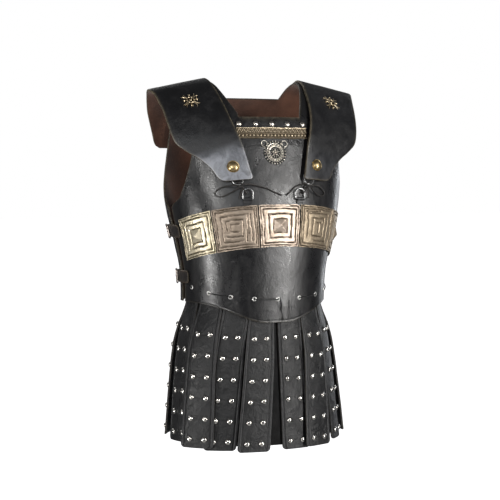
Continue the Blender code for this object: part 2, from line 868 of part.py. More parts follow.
def guard_point(side, x, row, lift, extra=0.0):
    core = Vector((x - 0.02, SHOULDER_RIDGE_Y, -0.12))
    low, high = -GUARD_BACK_ROWS, GUARD_ROWS

    def surface(u, v):
        return guard_at(u, min(max(v, low), high), extra)

    point = lifted(surface, x, row, lift, 0.003, 0.05, core)
    point.x *= side
    return point


def guard(name, side, material):
    columns = 4
    rows = [-GUARD_BACK_ROWS + k for k in range(GUARD_BACK_ROWS + GUARD_ROWS + 1)]

    def place(i, j, outer):
        inner_x, outer_x = guard_edges(rows[j])
        share = i / columns
        extra = 0.0
        if rows[j] == GUARD_ROWS:
            extra = -GUARD_CORNER_RISE * abs(share - 0.45) ** 3 * 8
        x = mix(inner_x, outer_x, share)
        return guard_point(side, x, rows[j], 0.0 if outer else -GUARD_LEATHER, extra)

    return sheet(name, place, columns, len(rows) - 1, material)


def guard_patch(side, x, row, lift):
    """Place function for a small piece on a guard: right, up and out from a centre."""
    here = guard_point(1, x, row, 0.0)
    step = (guard_point(1, x, row + 0.2, 0.0) - guard_point(1, x, row - 0.2, 0.0)).length / 0.4

    def place(dx, dy, dz):
        r = row - dy / step
        return guard_point(side, x + side * dx, r, lift + dz)

    return place


def star(name, place, material):
    """Cast star: eight points round a domed boss."""
    bm = bmesh.new()
    count = 16
    base, top, boss = [], [], []
    for k in range(count):
        turn = 2 * math.pi * k / count
        if k % 2:
            radius = STAR_RADIUS * 0.50
        else:
            radius = STAR_RADIUS * (0.78 if k % 4 == 0 else 1.0)
        x, y = radius * math.cos(turn), radius * math.sin(turn)
        base.append(bm.verts.new(place(x, y, 0.0)))
        top.append(bm.verts.new(place(x, y, STAR_HEIGHT * (0.32 if k % 2 else 0.45))))
        ring = STAR_RADIUS * 0.34
        boss.append(bm.verts.new(place(ring * math.cos(turn), ring * math.sin(turn), STAR_HEIGHT * 0.72)))
    tip = bm.verts.new(place(0, 0, STAR_HEIGHT))
    foot = bm.verts.new(place(0, 0, 0))
    for k in range(count):
        n = (k + 1) % count
        bm.faces.new((base[k], base[n], top[n], top[k]))
        bm.faces.new((top[k], top[n], boss[n], boss[k]))
        bm.faces.new((boss[k], boss[n], tip))
        bm.faces.new((base[n], base[k], foot))
    return finish_mesh(name, bm, material, 20)


def dome(name, place, radius, height, sides, material):
    bm = bmesh.new()
    lathe(bm, dome_profile(radius, height), sides, place)
    return finish_mesh(name, bm, material)


# Neck studs, trim and roundel

def neck_trim(material):
    columns = TRIM_BEADS
    shares = (0.0, 0.16, 0.46, 1.0)

    def at(c, share, lift):
        x = mix(-TRIM_HALF_LENGTH, TRIM_HALF_LENGTH, c / columns)
        drop = TRIM_TOP_DROP + TRIM_HEIGHT * (1 - share)
        return torso_point(row_at(drop), angle_of(x, drop), PLATE_LEATHER + SEAT_GAP + lift)

    def place(i, j, outer):
        return at(i, shares[j], TRIM_THICKNESS if outer else 0.0)

    def bead(i, j):
        if j != 1:
            return None
        return at(i + 0.5, (shares[1] + shares[2]) / 2, TRIM_THICKNESS + TRIM_BEAD_HEIGHT)

    return sheet("neck_trim", place, columns, len(shares) - 1, material, apex=bead)


def roundel(material):
    place = torso_patch(0.0, ROUNDEL_DROP, PLATE_LEATHER + SEAT_GAP)
    r, t, h = ROUNDEL_RADIUS, ROUNDEL_THICKNESS, ROUNDEL_HEIGHT
    profile = (
        (0, 0),
        (r, 0),
        (r, t),
        (r * 0.74, t),
        (r * 0.66, h * 0.85),
        (r * 0.55, t * 0.8),
        (r * 0.32, t * 0.8),
        (r * 0.24, h * 0.85),
        (0, h),
    )
    bm = bmesh.new()
    lathe(bm, profile, 12, place)
    disc = finish_mesh("chest_roundel", bm, material, 25)
    wire = ROUNDEL_CURL_WIRE
    curls = []
    for side in (-1, 1):
        centre_x = side * ROUNDEL_RADIUS * 0.90
        centre_y = ROUNDEL_RADIUS * 0.72
        steps = 7
        bm = bmesh.new()
        rings = []
        for k in range(steps + 1):
            turn = math.radians(mix(-70, 215, k / steps))
            ring = []
            for rr, zz in ((-wire, 0.0), (wire, 0.0), (wire, 1.6 * wire), (-wire, 1.6 * wire)):
                radius = ROUNDEL_CURL_RADIUS + rr
                x = centre_x + side * radius * math.cos(turn)
                y = centre_y + radius * math.sin(turn)
                ring.append(bm.verts.new(place(x, y, zz)))
            rings.append(ring)
        for a, b in zip(rings, rings[1:]):
            for n in range(4):
                m = (n + 1) % 4
                bm.faces.new((a[n], a[m], b[m], b[n]))
        bm.faces.new(rings[0])
        bm.faces.new(rings[-1])
        curls.append(finish_mesh(f"roundel_curl_{side}", bm, material))
    for curl in curls:
        boolean(disc, curl, "UNION")


# Belt plates

def belt_plate(number, material):
    edges = [-BELT_ANGLES[2], -BELT_ANGLES[1], -BELT_ANGLES[0]] + list(BELT_ANGLES)
    left = edges[number - 1] + BELT_EDGE_GAP_ANGLE
    right = edges[number] - BELT_EDGE_GAP_ANGLE
    place_lift = PLATE_LEATHER + BELT_SEAT_GAP

    def at(u, v, lift):
        """u runs across and v down, both from -1 to 1."""
        angle = mix(left, right, (u + 1) / 2)
        low = mix(edges[number - 1], edges[number], (u + 1) / 2)
        drop = belt_drop(low, (v + 1) / 2)
        return torso_point(row_at(drop), angle, place_lift + lift)

    bm = bmesh.new()
    third = 1 / 3
    corners = [(-1, -1), (-third, -1), (third, -1), (1, -1), (1, 0), (1, 1), (third, 1), (-third, 1), (-1, 1), (-1, 0)]

    def ring(scale, lift):
        return [bm.verts.new(at(u * scale, v * scale, lift)) for u, v in corners]

    stepped = number % 2 == 1
    t, step = BELT_THICKNESS, BELT_STEP_HEIGHT
    levels = [(1.0, 0.0), (0.985, t), (0.90, t), (0.84, t + step), (0.70, t + step), (0.64, t)]
    if stepped:
        levels += [(0.42, t), (0.36, t + step), (0.28, t + step)]
        peak = BELT_PEAK_HEIGHT
    else:
        levels += [(0.34, t), (0.26, t + step)]
        peak = t + step
    rings = [ring(*level) for level in levels]
    count = len(corners)
    for a, b in zip(rings, rings[1:]):
        for k in range(count):
            n = (k + 1) % count
            bm.faces.new((a[k], a[n], b[n], b[k]))
    tip = bm.verts.new(at(0, 0, peak))
    for k in range(count):
        bm.faces.new((rings[-1][k], rings[-1][(k + 1) % count], tip))
    inner = [bm.verts.new(at(u, 0, 0.0)) for u in (-third, third)]
    low = rings[0]
    bm.faces.new((low[0], low[1], inner[0], low[9]))
    bm.faces.new((low[1], low[2], inner[1], inner[0]))
    bm.faces.new((low[2], low[3], low[4], inner[1]))
    bm.faces.new((inner[1], low[4], low[5], low[6]))
    bm.faces.new((inner[0], inner[1], low[6], low[7]))
    bm.faces.new((low[9], inner[0], low[7], low[8]))
    return finish_mesh(f"belt_plate_{number}", bm, material, 15)


# Rings, tabs and thongs

def d_ring(name, place, bar_up, material):
    """D-ring in the plane of a place function; the bar is at y = 0 and the bow on one side."""
    w = RING_HALF_WIDTH - RING_WIRE
    h = RING_HEIGHT - RING_WIRE
    sign = 1 if bar_up else -1
    outline = [(w * 0.84, 0.0), (w, sign * w * 0.16)]
    for k in range(RING_ARC_STEPS + 1):
        turn = math.pi * k / RING_ARC_STEPS
        outline.append((w * math.cos(turn), sign * (h - w * 0.82 + w * 0.82 * math.sin(turn))))
    outline += [(-w, sign * w * 0.16), (-w * 0.84, 0.0)]
    centres = [place(x, y, 0.0) for x, y in outline]
    axis = (place(0, 0, 1) - place(0, 0, 0)).normalized()
    return tube(name, centres, RING_SIDES, RING_WIRE, material, axis)


def tab(name, place, length, towards, material):
    """Strip folded round a ring's bar, which is at the origin: back layer, eye, front layer."""
    t = TAB_LEATHER
    eye = RING_WIRE + TAB_SLACK + t / 2
    path = [(length, -eye), (0.0, -eye)]
    for k in range(1, 5):
        turn = math.radians(-90 + 45 * k)
        path.append((-math.cos(turn) * eye, math.sin(turn) * eye))
    path += [(eye * 0.9, eye), (max(length * 0.5, eye * 1.9), -eye + t + SEAT_GAP)]
    path += [(length, -eye + t + SEAT_GAP)]

    def place_tab(i, j, outer):
        here = Vector(path[j])
        a, b = Vector(path[max(j - 1, 0)]), Vector(path[min(j + 1, len(path) - 1)])
        along = (b - a).normalized()
        point = here + Vector((-along.y, along.x)) * (t / 2 if outer else -t / 2)
        return place((i * 2 - 1) * TAB_WIDTH / 2, towards * point.x, point.y)

    return sheet(name, place_tab, 1, len(path) - 1, material)


def tilted(place, degrees):
    """The same place function with everything away from its x axis standing further out."""
    c, s = math.cos(math.radians(degrees)), math.sin(math.radians(degrees))
    return lambda x, y, z: place(x, y * c, z + abs(y) * s)


def ties(materials, leather):
    bar = TAB_LEATHER + TAB_SLACK + RING_WIRE
    for name, side, ring_x, guard_x, tail in TIE_SIDES:
        drop = CHEST_RING_BAR_DROP
        base, off = (torso_point(row_at(drop), side * angle_of(ring_x, drop), z) for z in (0.0, 0.01))
        outward = (off - base).normalized()
        seat = seated_patch(leather, base, outward, TAB_WIDTH / 2, CHEST_TAB_LENGTH)
        chest = flat_patch(seat(0, 0, bar), outward)
        d_ring(f"chest_ring_{name}", tilted(chest, CHEST_RING_TILT), True, materials["nickel"])
        tab(f"chest_ring_tab_{name}", chest, CHEST_TAB_LENGTH, -1, materials["black_leather"])

        under, off = (guard_point(side, guard_x, GUARD_RING_ROW, z) for z in (-GUARD_LEATHER, 0.01))
        outward = (off - under).normalized()
        hang = flat_patch(under - outward * (bar + GUARD_RING_REST), -outward)
        d_ring(f"guard_ring_{name}", tilted(hang, -GUARD_RING_TILT), False, materials["nickel"])
        tab(f"guard_ring_tab_{name}", hang, TAB_LENGTH, 1, materials["black_leather"])

        points = thong_route(side, (ring_x + guard_x) / 2, (drop - under.z) / 2, tail)
        cord(f"tie_thong_{name}", points, THONG_RADIUS, THONG_STEP, materials["thong"])


def thong_route(side, middle_x, middle_drop, tail):
    unit = RING_HALF_WIDTH
    route = [(tail / unit * share, up, out) for share, up, out in THONG_TAIL] + list(THONG_ROUTE)
    points = []
    for inward, up, out in route:
        d = middle_drop - up * unit
        angle = side * angle_of(middle_x - inward * unit, d)
        points.append(torso_point(row_at(d), angle, PLATE_LEATHER + out * unit))
    return points


# Skirt

def side_rise(place):
    """How much higher the skirt's foot is here than at the front centre."""
    quarter = SKIRT_STRIPS / 4
    away = min(abs(place), SKIRT_STRIPS - abs(place)) / quarter
    return SKIRT_SIDE_RISE * min(1.0, away**2)


def skirt_strip(number, material):
    first = number - 0.5
    shift, swing, stand = STRIP_HANG[number - 1]
    outer_layer = number % 2 == 0
    foot = SKIRT_TOP_DROP + SKIRT_LENGTH - side_rise(first)
    middle_point = skirt_point(HEM_DROP_SIDE, first + shift)
    half = section(row_at(HEM_DROP_SIDE))[1]
    front = middle_point.y < 0
    hem_angle = math.degrees(math.asin(max(-1, min(1, middle_point.x / half))))
    top = hem_drop(hem_angle, front) - STRIP_TUCK
    rows = [top, foot - STUD_END_MARGIN - STUD_PITCH * (STUD_ROWS - 0.5)]
    rows += [rows[1] + STUD_PITCH * (k + 1) for k in range(STUD_ROWS - 1)] + [foot]
    stud_drops = [foot - STUD_END_MARGIN - STUD_PITCH * (STUD_ROWS - 1 - k) for k in range(STUD_ROWS)]

    def at(u, drop, lift, rise=0.0):
        """u runs across from -1 to 1, the wearer's left on the positive side."""
        share = (drop - top) / (foot - top)
        over = STRIP_LAYER_STEP * smooth_step(share, 0.0, 0.35) if outer_layer else 0.0
        base = UNDER_LEATHER + mix(HANG_GAP_TOP, HANG_GAP_FOOT, share) + over
        base += SKIRT_SIDE_RISE * stand * max(0.0, share) ** 1.5
        reach = u * mix(STRIP_TOP_SHARE, STRIP_BOTTOM_SHARE, share) / 2
        middle = first + shift + swing * max(0.0, share)
        return skirt_point(drop - rise, middle + reach, base + lift)

    bm = bmesh.new()
    t = SKIRT_LEATHER
    corner = STRIP_CORNER
    grid = {}
    for j, drop in enumerate(rows):
        for i, u in enumerate((-1.0, 0.0, 1.0)):
            rise = 0.0
            if j == len(rows) - 1 and u:
                rise = corner
            grid[i, j] = (at(u, drop, t, rise), at(u, drop, 0.0, rise))
    vert = {key: (bm.verts.new(a), bm.verts.new(b)) for key, (a, b) in grid.items()}
    last = len(rows) - 1
    foot_u = 1 - 2 * corner / strip_width(foot, first)
    for i, u in ((3, -foot_u), (4, foot_u)):
        vert[i, last] = (bm.verts.new(at(u, foot, t)), bm.verts.new(at(u, foot, 0.0)))
    for j in range(last):
        for i in (0, 1):
            loop = [(i, j), (i, j + 1), (i + 1, j + 1), (i + 1, j)]
            if j == last - 1:
                loop.insert(2, (3 + i, last))
            bm.faces.new([vert[k][1] for k in loop])
            if j == 0:
                bm.faces.new([vert[k][0] for k in reversed(loop)])
                continue
            centre_u = -1 + 2 * STUD_SPREAD if i == 0 else 1 - 2 * STUD_SPREAD
            width = strip_width(stud_drops[j - 1], first)
            studs_face(bm, [vert[k][0] for k in reversed(loop)], at, centre_u, stud_drops[j - 1], width)
    rim = [(0, j) for j in range(last + 1)] + [(3, last), (1, last), (4, last)]
    rim += [(2, j) for j in range(last, -1, -1)] + [(1, 0)]
    for a, b in zip(rim, rim[1:] + rim[:1]):
        bm.faces.new((vert[a][0], vert[b][0], vert[b][1], vert[a][1]))
    return finish_mesh(f"skirt_strip_{number:02d}", bm, material, 30)


def studs_face(bm, loop, at, centre_u, drop, width):
    """Leather round one stud and the stud itself, as a low cone rising from the leather."""
    thickness = SKIRT_LEATHER
    ring = []
    for k in range(STUD_SIDES):
        turn = 2 * math.pi * (k + 0.5) / STUD_SIDES
        du = 2 * STUD_RADIUS * math.cos(turn) / width
        ring.append(bm.verts.new(at(centre_u + du, drop - STUD_RADIUS * math.sin(turn), thickness)))
    tip = bm.verts.new(at(centre_u, drop, thickness + STUD_HEIGHT))
    for k in range(STUD_SIDES):
        bm.faces.new((ring[k], ring[(k + 1) % STUD_SIDES], tip))
    outer_edges = [bm.edges.get((a, b)) or bm.edges.new((a, b)) for a, b in zip(loop, loop[1:] + loop[:1])]
    inner_edges = [bm.edges.get((a, b)) for a, b in zip(ring, ring[1:] + ring[:1])]
    bmesh.ops.triangle_fill(bm, edges=outer_edges + inner_edges, use_beauty=True)


def under_skirt(name, first, count, material):
    """Waistband with a comb of plain tongues, each behind the gap of two strips."""
    band = SKIRT_TOP_DROP + WAISTBAND_HEIGHT
    shares = (0.0, 0.5, 1.0, 0.25, 0.6, 1.0)
    half = UNDER_TONGUE_SHARE / 2
    arcs = []
    for k in range(count):
        arcs += [first + k - half, first + k, first + k + half]
    gaps = {3 * k + 2 for k in range(count - 1)}

    def place(i, j, outer):
        if j <= 2:
            drop = mix(SKIRT_TOP_DROP, band, shares[j])
        else:
            tongue = first + i // 3
            foot = SKIRT_TOP_DROP + SKIRT_LENGTH - UNDER_SHORTER - side_rise(tongue)
            drop = mix(band, foot, shares[j])
        return skirt_point(drop, arcs[i], UNDER_LEATHER if outer else 0.0)

    def keep(i, j):
        return j < 2 or i not in gaps

    return sheet(name, place, len(arcs) - 1, len(shares) - 1, material, keep)


# Side straps and lace

def side_strap_drop(level, share):
    if level == "upper":
        return belt_drop(BELT_ANGLES[-1], share)
    return mix(belt_drop(BELT_ANGLES[-1], 1.0), HEM_DROP_SIDE, share)


def strap_lifts(leather, side, drop, angles):
    """Rest height of a side strap at each angle, over the leather near it."""
    lifts = []
    half = (angles[1] - angles[0]) / 2
    for angle in angles:
        spots = []
        for turn in (angle - half, angle, angle + half):
            for share in (-0.55, -0.25, 0.0, 0.25, 0.55):
                d = drop + SIDE_STRAP_WIDTH * share
                here = ring_point(d, side * turn, PLATE_LEATHER)
                spots.append((here, (ring_point(d, side * turn, 0.02) - here).normalized()))
        lifts.append(PLATE_LEATHER + rise_over(leather, spots) + STRAP_SEAT_GAP)
    return lifts


def side_strap(name, side, drop, front_angle, material, leather):
    steps = 8
    angles = [mix(front_angle, SIDE_STRAP_BACK_ANGLE, i / steps) for i in range(steps + 1)]
    lifts = strap_lifts(leather, side, drop, angles)

    def place(i, j, outer):
        d = drop + SIDE_STRAP_WIDTH * (0.5 - j)
        return ring_point(d, side * angles[i], lifts[i] + (STRAP_LEATHER if outer else 0.0))

    return sheet(name, place, steps, 1, material)


def buckle(name, side, drop, material, strap):
    """Square frame over the strap with a bar across its middle."""
    centre = ring_point(drop, side * BUCKLE_ANGLE, PLATE_LEATHER)
    out = ring_point(drop, side * BUCKLE_ANGLE, 0.02) - centre
    place = seated_patch(seat_tree(strap), centre, out, BUCKLE_LENGTH / 2, SIDE_STRAP_WIDTH * 0.45)
    w, h, t = BUCKLE_LENGTH / 2, SIDE_STRAP_WIDTH * 0.62, BUCKLE_WIRE * 2
    xs = (-w, -w + t, -t / 2, t / 2, w - t, w)
    ys = (-h, -h + t, h - t, h)

    def at(i, j, outer):
        return place(xs[i], ys[j], t if outer else 0.0)

    def keep(i, j):
        return j != 1 or i in (0, 2, 4)

    return sheet(name, at, 5, 3, material, keep)


def waist_lace(material):
    over, under = PLATE_LEATHER + LACE_RADIUS + 0.0006, -0.0018 - LACE_RADIUS
    frames = list(eyelet_frames())
    points = []
    first = frames[0]
    for back in (8.5, 5.0, 2.0):
        points.append(ring_point(eyelet_drop(first[0] - back), first[0] - back, over))
    inward = True
    for k, (angle, drop) in enumerate(frames):
        lifts = (over, (over + under) / 2, under) if inward else (under, (over + under) / 2, over)
        points += [ring_point(drop, angle, lift) for lift in lifts]
        if k < len(frames) - 1:
            nxt = frames[k + 1]
            between = under if inward else over
            for share in (0.12, 0.5, 0.88):
                a = mix(angle, nxt[0], share)
                points.append(ring_point(eyelet_drop(a), a, between))
        inward = not inward
    return cord("waist_lace", points, LACE_RADIUS, LACE_STEP, material)


def main():
    clear_scene()
    materials = make_materials()
    leather = materials["black_leather"]
    breastplate = body_plate("breastplate", True, NECKLINE_DROP, leather)
    backplate = body_plate("backplate", False, BACK_NECK_DROP, leather)
    plates = seat_tree(breastplate, backplate)
    punch_eyelets(breastplate)

    for name, side in SIDES:
        guard(f"shoulder_guard_{name}", side, leather)
        place = guard_patch(side, STAR_X, STAR_ROW, SEAT_GAP)
        star(f"guard_star_{name}", place, materials["old_silver"])
        place = guard_patch(side, *GUARD_RIVETS[name], SEAT_GAP)
        dome(f"guard_rivet_{name}", place, GUARD_RIVET_RADIUS, GUARD_RIVET_HEIGHT, 12, materials["brass"])

    for k in range(NECK_STUD_COUNT):
        x = NECK_STUD_PITCH * (k - (NECK_STUD_COUNT - 1) / 2)
        spot = torso_patch(x, NECK_STUD_DROP, 0.0)
        outward = spot(0, 0, 0.02) - spot(0, 0, 0)
        place = seated_patch(plates, spot(0, 0, PLATE_LEATHER), outward, NECK_STUD_RADIUS, NECK_STUD_RADIUS)
        dome(f"neck_stud_{k + 1}", place, NECK_STUD_RADIUS, NECK_STUD_HEIGHT, 8, materials["nickel"])
    neck_trim(materials["bronze"])
    roundel(materials["old_silver"])
    for number in range(1, BELT_PLATES + 1):
        belt_plate(number, materials["bronze"])
    ties(materials, plates)

    for number in range(1, SKIRT_STRIPS + 1):
        skirt_strip(number, materials["skirt_leather"])
    under_skirt("under_skirt_front", -3, 7, materials["skirt_leather"])
    under_skirt("under_skirt_back", 4, 9, materials["skirt_leather"])

    for name, side in SIDES:
        for level, share, front_angle in SIDE_STRAPS:
            drop = side_strap_drop(level, share)
            strap = side_strap(f"side_strap_{level}_{name}", side, drop, front_angle, leather, plates)
            buckle(f"side_buckle_{level}_{name}", side, drop, materials["nickel"], strap)
    waist_lace(materials["thong"])


main()
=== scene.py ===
# Leather cuirass: shoulder guards, a belt of cast bronze plates and a skirt of studded strips.
# Metres, +Z up. The front faces -Y and the wearer's left is +X.
import json
import math
import random

import bmesh
import bpy
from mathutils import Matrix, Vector, noise

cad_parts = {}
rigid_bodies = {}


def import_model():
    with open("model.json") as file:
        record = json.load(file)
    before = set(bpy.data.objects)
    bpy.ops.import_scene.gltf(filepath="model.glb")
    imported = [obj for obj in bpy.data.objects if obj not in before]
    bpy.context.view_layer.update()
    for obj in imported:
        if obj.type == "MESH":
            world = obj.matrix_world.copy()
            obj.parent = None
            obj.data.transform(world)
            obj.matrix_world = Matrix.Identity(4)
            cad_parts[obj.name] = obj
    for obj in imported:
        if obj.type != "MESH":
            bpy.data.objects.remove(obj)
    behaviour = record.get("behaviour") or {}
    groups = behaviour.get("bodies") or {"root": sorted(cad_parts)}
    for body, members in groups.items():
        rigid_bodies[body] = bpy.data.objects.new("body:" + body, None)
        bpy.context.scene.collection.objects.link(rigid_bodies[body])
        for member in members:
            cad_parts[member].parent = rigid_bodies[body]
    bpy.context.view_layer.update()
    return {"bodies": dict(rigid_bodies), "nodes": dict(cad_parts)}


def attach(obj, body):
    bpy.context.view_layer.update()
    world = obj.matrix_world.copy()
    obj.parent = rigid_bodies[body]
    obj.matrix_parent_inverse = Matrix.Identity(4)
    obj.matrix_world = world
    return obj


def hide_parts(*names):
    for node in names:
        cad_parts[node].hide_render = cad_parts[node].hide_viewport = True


for item in list(bpy.data.objects):
    bpy.data.objects.remove(item, do_unlink=True)
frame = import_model()
bodyName = next(iter(frame["bodies"]))
print("frame loaded:", len(frame["nodes"]), "nodes")


# small sums

def mix(a, b, share):
    return a + (b - a) * share


def smoothStep(value, start, end):
    share = min(1.0, max(0.0, (value - start) / (end - start)))
    return share * share * (3 - 2 * share)


def bell(distance, width):
    return math.exp(-(distance / width) ** 2)


def spread(start, end, count):
    return [mix(start, end, k / count) for k in range(count + 1)]


def polar(radius, turn):
    return radius * math.cos(turn), radius * math.sin(turn)


def through(values, index):  # Catmull-Rom through evenly indexed values
    last = len(values) - 1
    index = min(max(index, 0.0), float(last))
    i = min(int(index), last - 1)
    f = index - i
    before = values[i - 1] if i > 0 else 2 * values[0] - values[1]
    after = values[i + 2] if i + 2 <= last else 2 * values[last] - values[last - 1]
    a, b = values[i], values[i + 1]
    bend = (2 * before - 5 * a + 4 * b - after) * f * f
    return 0.5 * (2 * a + (b - before) * f + bend + (3 * a - 3 * b + after - before) * f**3)


def indexAt(values, wanted):
    low, high = 0.0, float(len(values) - 1)
    for step in range(40):
        middle = (low + high) / 2
        if through(values, middle) < wanted:
            low = middle
        else:
            high = middle
    return (low + high) / 2


def tabled(function, count):  # a function of 0 to 1 as a fine table, which is quicker
    dense = [function(k / count) for k in range(count + 1)]

    def at(share):
        place = min(max(share, 0.0), 1.0) * count
        i = min(int(place), count - 1)
        return mix(dense[i], dense[i + 1], place - i)

    return at


def edgeCurve(rows, column):
    drops = [row[0] for row in rows]
    values = [row[column] for row in rows]
    return tabled(lambda share: through(values, indexAt(drops, share)), 400)


def linked(name, data):
    obj = bpy.data.objects.new(name, data)
    bpy.context.scene.collection.objects.link(obj)
    return obj


# camera, light and ground

view = {"azimuth": -24.0, "distance": 3.3, "pitch": 2.9, "height": -0.183, "lens": 113.14, "shift": -0.0052}


def makeCamera():
    turn, pitch = math.radians(view["azimuth"]), math.radians(view["pitch"])
    back = Vector((math.sin(turn), -math.cos(turn), 0))
    data = bpy.data.cameras.new("camera")
    data.lens = view["lens"]
    data.sensor_width = 36.0
    data.shift_x = view["shift"]
    camera = linked("camera", data)
    camera.location = back * view["distance"] + Vector((0, 0, view["height"]))
    look = -back * math.cos(pitch) - Vector((0, 0, math.sin(pitch)))
    camera.rotation_euler = look.to_track_quat("-Z", "Y").to_euler()
    bpy.context.scene.camera = camera


# azimuth and elevation round the chest, distance, width, height, watts and colour
studio = {
    "leftBox": (-81, -20, 2.2, 0.60, 0.86, 29, (1.0, 0.99, 0.97)),
    "chestBox": (-40, 10, 2.2, 0.36, 0.50, 17, (1.0, 0.99, 0.97)),
    "rightBox": (30, 1, 2.4, 0.20, 2.20, 66, (1.0, 0.985, 0.96)),
    "lowFront": (-12, 21, 2.4, 0.40, 0.30, 4.5, (0.90, 0.95, 1.0)),
    "leftWall": (-85, 32, 2.8, 1.5, 1.5, 5, (1.0, 1.0, 1.0)),
    "floorGlow": (-20, -76, 1.0, 1.5, 1.5, 2.6, (1.0, 1.0, 1.0)),
    "rimRight": (118, 12, 2.3, 0.6, 1.8, 14, (0.93, 0.96, 1.0)),
    "rimBack": (195, 35, 2.4, 1.6, 1.2, 16, (1.0, 1.0, 1.0)),
}
room = {"aim": (0.0, 0.0, -0.35), "bounce": (0.80, 0.82, 0.86), "bounceStrength": 0.10,
        "paper": (1.0, 1.0, 1.0), "floorZ": -1.25, "floorColour": (0.9, 0.9, 0.9), "floorGlow": 1.1}


def makeLights():
    aim = Vector(room["aim"])
    for name, (azimuth, elevation, distance, width, height, watts, colour) in studio.items():
        turn, lift = math.radians(azimuth), math.radians(elevation)
        data = bpy.data.lights.new(name, "AREA")
        data.shape = "RECTANGLE"
        data.size = width
        data.size_y = height
        data.energy = watts
        data.color = colour
        light = linked(name, data)
        away = Vector((math.sin(turn) * math.cos(lift), -math.cos(turn) * math.cos(lift), math.sin(lift)))
        light.location = aim + away * distance
        light.rotation_euler = (-away).to_track_quat("-Z", "Y").to_euler()
        light.visible_camera = False


def makeRoom():
    world = bpy.data.worlds.new("studio")
    bpy.context.scene.world = world
    world.use_nodes = True
    nodes, links = world.node_tree.nodes, world.node_tree.links
    nodes.clear()
    path = nodes.new("ShaderNodeLightPath")
    pick = nodes.new("ShaderNodeMixShader")
    out = nodes.new("ShaderNodeOutputWorld")
    links.new(path.outputs["Is Camera Ray"], pick.inputs[0])
    for socket, colour, strength in ((1, room["bounce"], room["bounceStrength"]), (2, room["paper"], 1.0)):
        shade = nodes.new("ShaderNodeBackground")  # bounce for the surfaces, paper for the camera
        shade.inputs["Color"].default_value = (*colour, 1)
        shade.inputs["Strength"].default_value = strength
        links.new(shade.outputs[0], pick.inputs[socket])
    links.new(pick.outputs[0], out.inputs["Surface"])

    bm = bmesh.new()
    bmesh.ops.create_grid(bm, x_segments=2, y_segments=2, size=30)
    mesh = bpy.data.meshes.new("floor")
    bm.to_mesh(mesh)
    bm.free()
    floor = linked("floor", mesh)
    floor.location.z = room["floorZ"]
    material = bpy.data.materials.new("paleFloor")
    material.use_nodes = True
    shader = material.node_tree.nodes["Principled BSDF"]
    shader.inputs["Base Color"].default_value = (*room["floorColour"], 1)
    shader.inputs["Roughness"].default_value = 0.9
    shader.inputs["Emission Color"].default_value = (*room["paper"], 1)
    shader.inputs["Emission Strength"].default_value = room["floorGlow"]
    mesh.materials.append(material)
    floor.visible_glossy = False
    floor.visible_diffuse = False


scene = bpy.context.scene
scene.view_settings.view_transform = "Standard"
scene.view_settings.look = "None"
scene.view_settings.exposure = 0.0
makeCamera()
makeRoom()
makeLights()
print("camera, room and lights placed")


# materials

class Finish:  # one material and short ways to add its nodes
    def __init__(self, name):
        self.material = bpy.data.materials.new(name)
        self.material.use_nodes = True
        self.nodes = self.material.node_tree.nodes
        self.links = self.material.node_tree.links
        self.shader = self.nodes["Principled BSDF"]
        self.coords = self.nodes.new("ShaderNodeTexCoord").outputs["Object"]

    def add(self, kind, **inputs):
        node = self.nodes.new("ShaderNode" + kind)
        for key, value in inputs.items():
            self.put(node.inputs[key.replace("_", " ")], value)
        return node

    def put(self, socket, value):
        if isinstance(value, bpy.types.NodeSocket):
            self.links.new(value, socket)
        else:
            socket.default_value = value

    def give(self, **inputs):  # sets or links the shader's own inputs
        for key, value in inputs.items():
            self.put(self.shader.inputs[key.replace("_", " ")], value)

    def stretched(self, x, y, z):
        node = self.add("Mapping", Vector=self.coords)
        node.inputs["Scale"].default_value = (x, y, z)
        return node.outputs["Vector"]

    def clouds(self, scale, detail=4.0, roughness=0.55, vector=None, distortion=0.0):
        node = self.add("TexNoise", Vector=vector or self.coords, Scale=scale, Detail=detail)
        node.inputs["Roughness"].default_value = roughness
        node.inputs["Distortion"].default_value = distortion
        return node.outputs["Fac"]

    def cells(self, scale, feature="F1", vector=None):
        node = self.nodes.new("ShaderNodeTexVoronoi")
        node.feature = feature
        self.put(node.inputs["Vector"], vector or self.coords)
        node.inputs["Scale"].default_value = scale
        return node.outputs["Distance"]

    def between(self, value, low, high, start=0.0, end=1.0):
        node = self.nodes.new("ShaderNodeMapRange")
        self.put(node.inputs["Value"], value)
        for key, number in (("From Min", low), ("From Max", high), ("To Min", start), ("To Max", end)):
            node.inputs[key].default_value = number
        return node.outputs["Result"]

    def sum(self, operation, a, b):
        node = self.nodes.new("ShaderNodeMath")
        node.operation = operation
        node.use_clamp = operation != "SUBTRACT"
        self.put(node.inputs[0], a)
        self.put(node.inputs[1], b)
        return node.outputs[0]

    def blend(self, share, a, b):
        node = self.nodes.new("ShaderNodeMix")
        node.data_type = "RGBA"
        self.put(node.inputs["Factor"], share)
        for socket, value in ((node.inputs[6], a), (node.inputs[7], b)):
            self.put(socket, value if isinstance(value, bpy.types.NodeSocket) else (*value, 1.0))
        return node.outputs[2]

    def painted(self, name):  # a value stored on the mesh's points
        node = self.nodes.new("ShaderNodeAttribute")
        node.attribute_name = name
        return node.outputs["Fac"]

    def bumps(self, *layers):  # (height, strength, distance) from the coarsest to the finest
        normal = None
        for height, strength, distance in layers:
            node = self.add("Bump", Height=height, Strength=strength, Distance=distance)
            if normal:
                self.links.new(normal, node.inputs["Normal"])
            normal = node.outputs["Normal"]
        self.links.new(normal, self.shader.inputs["Normal"])


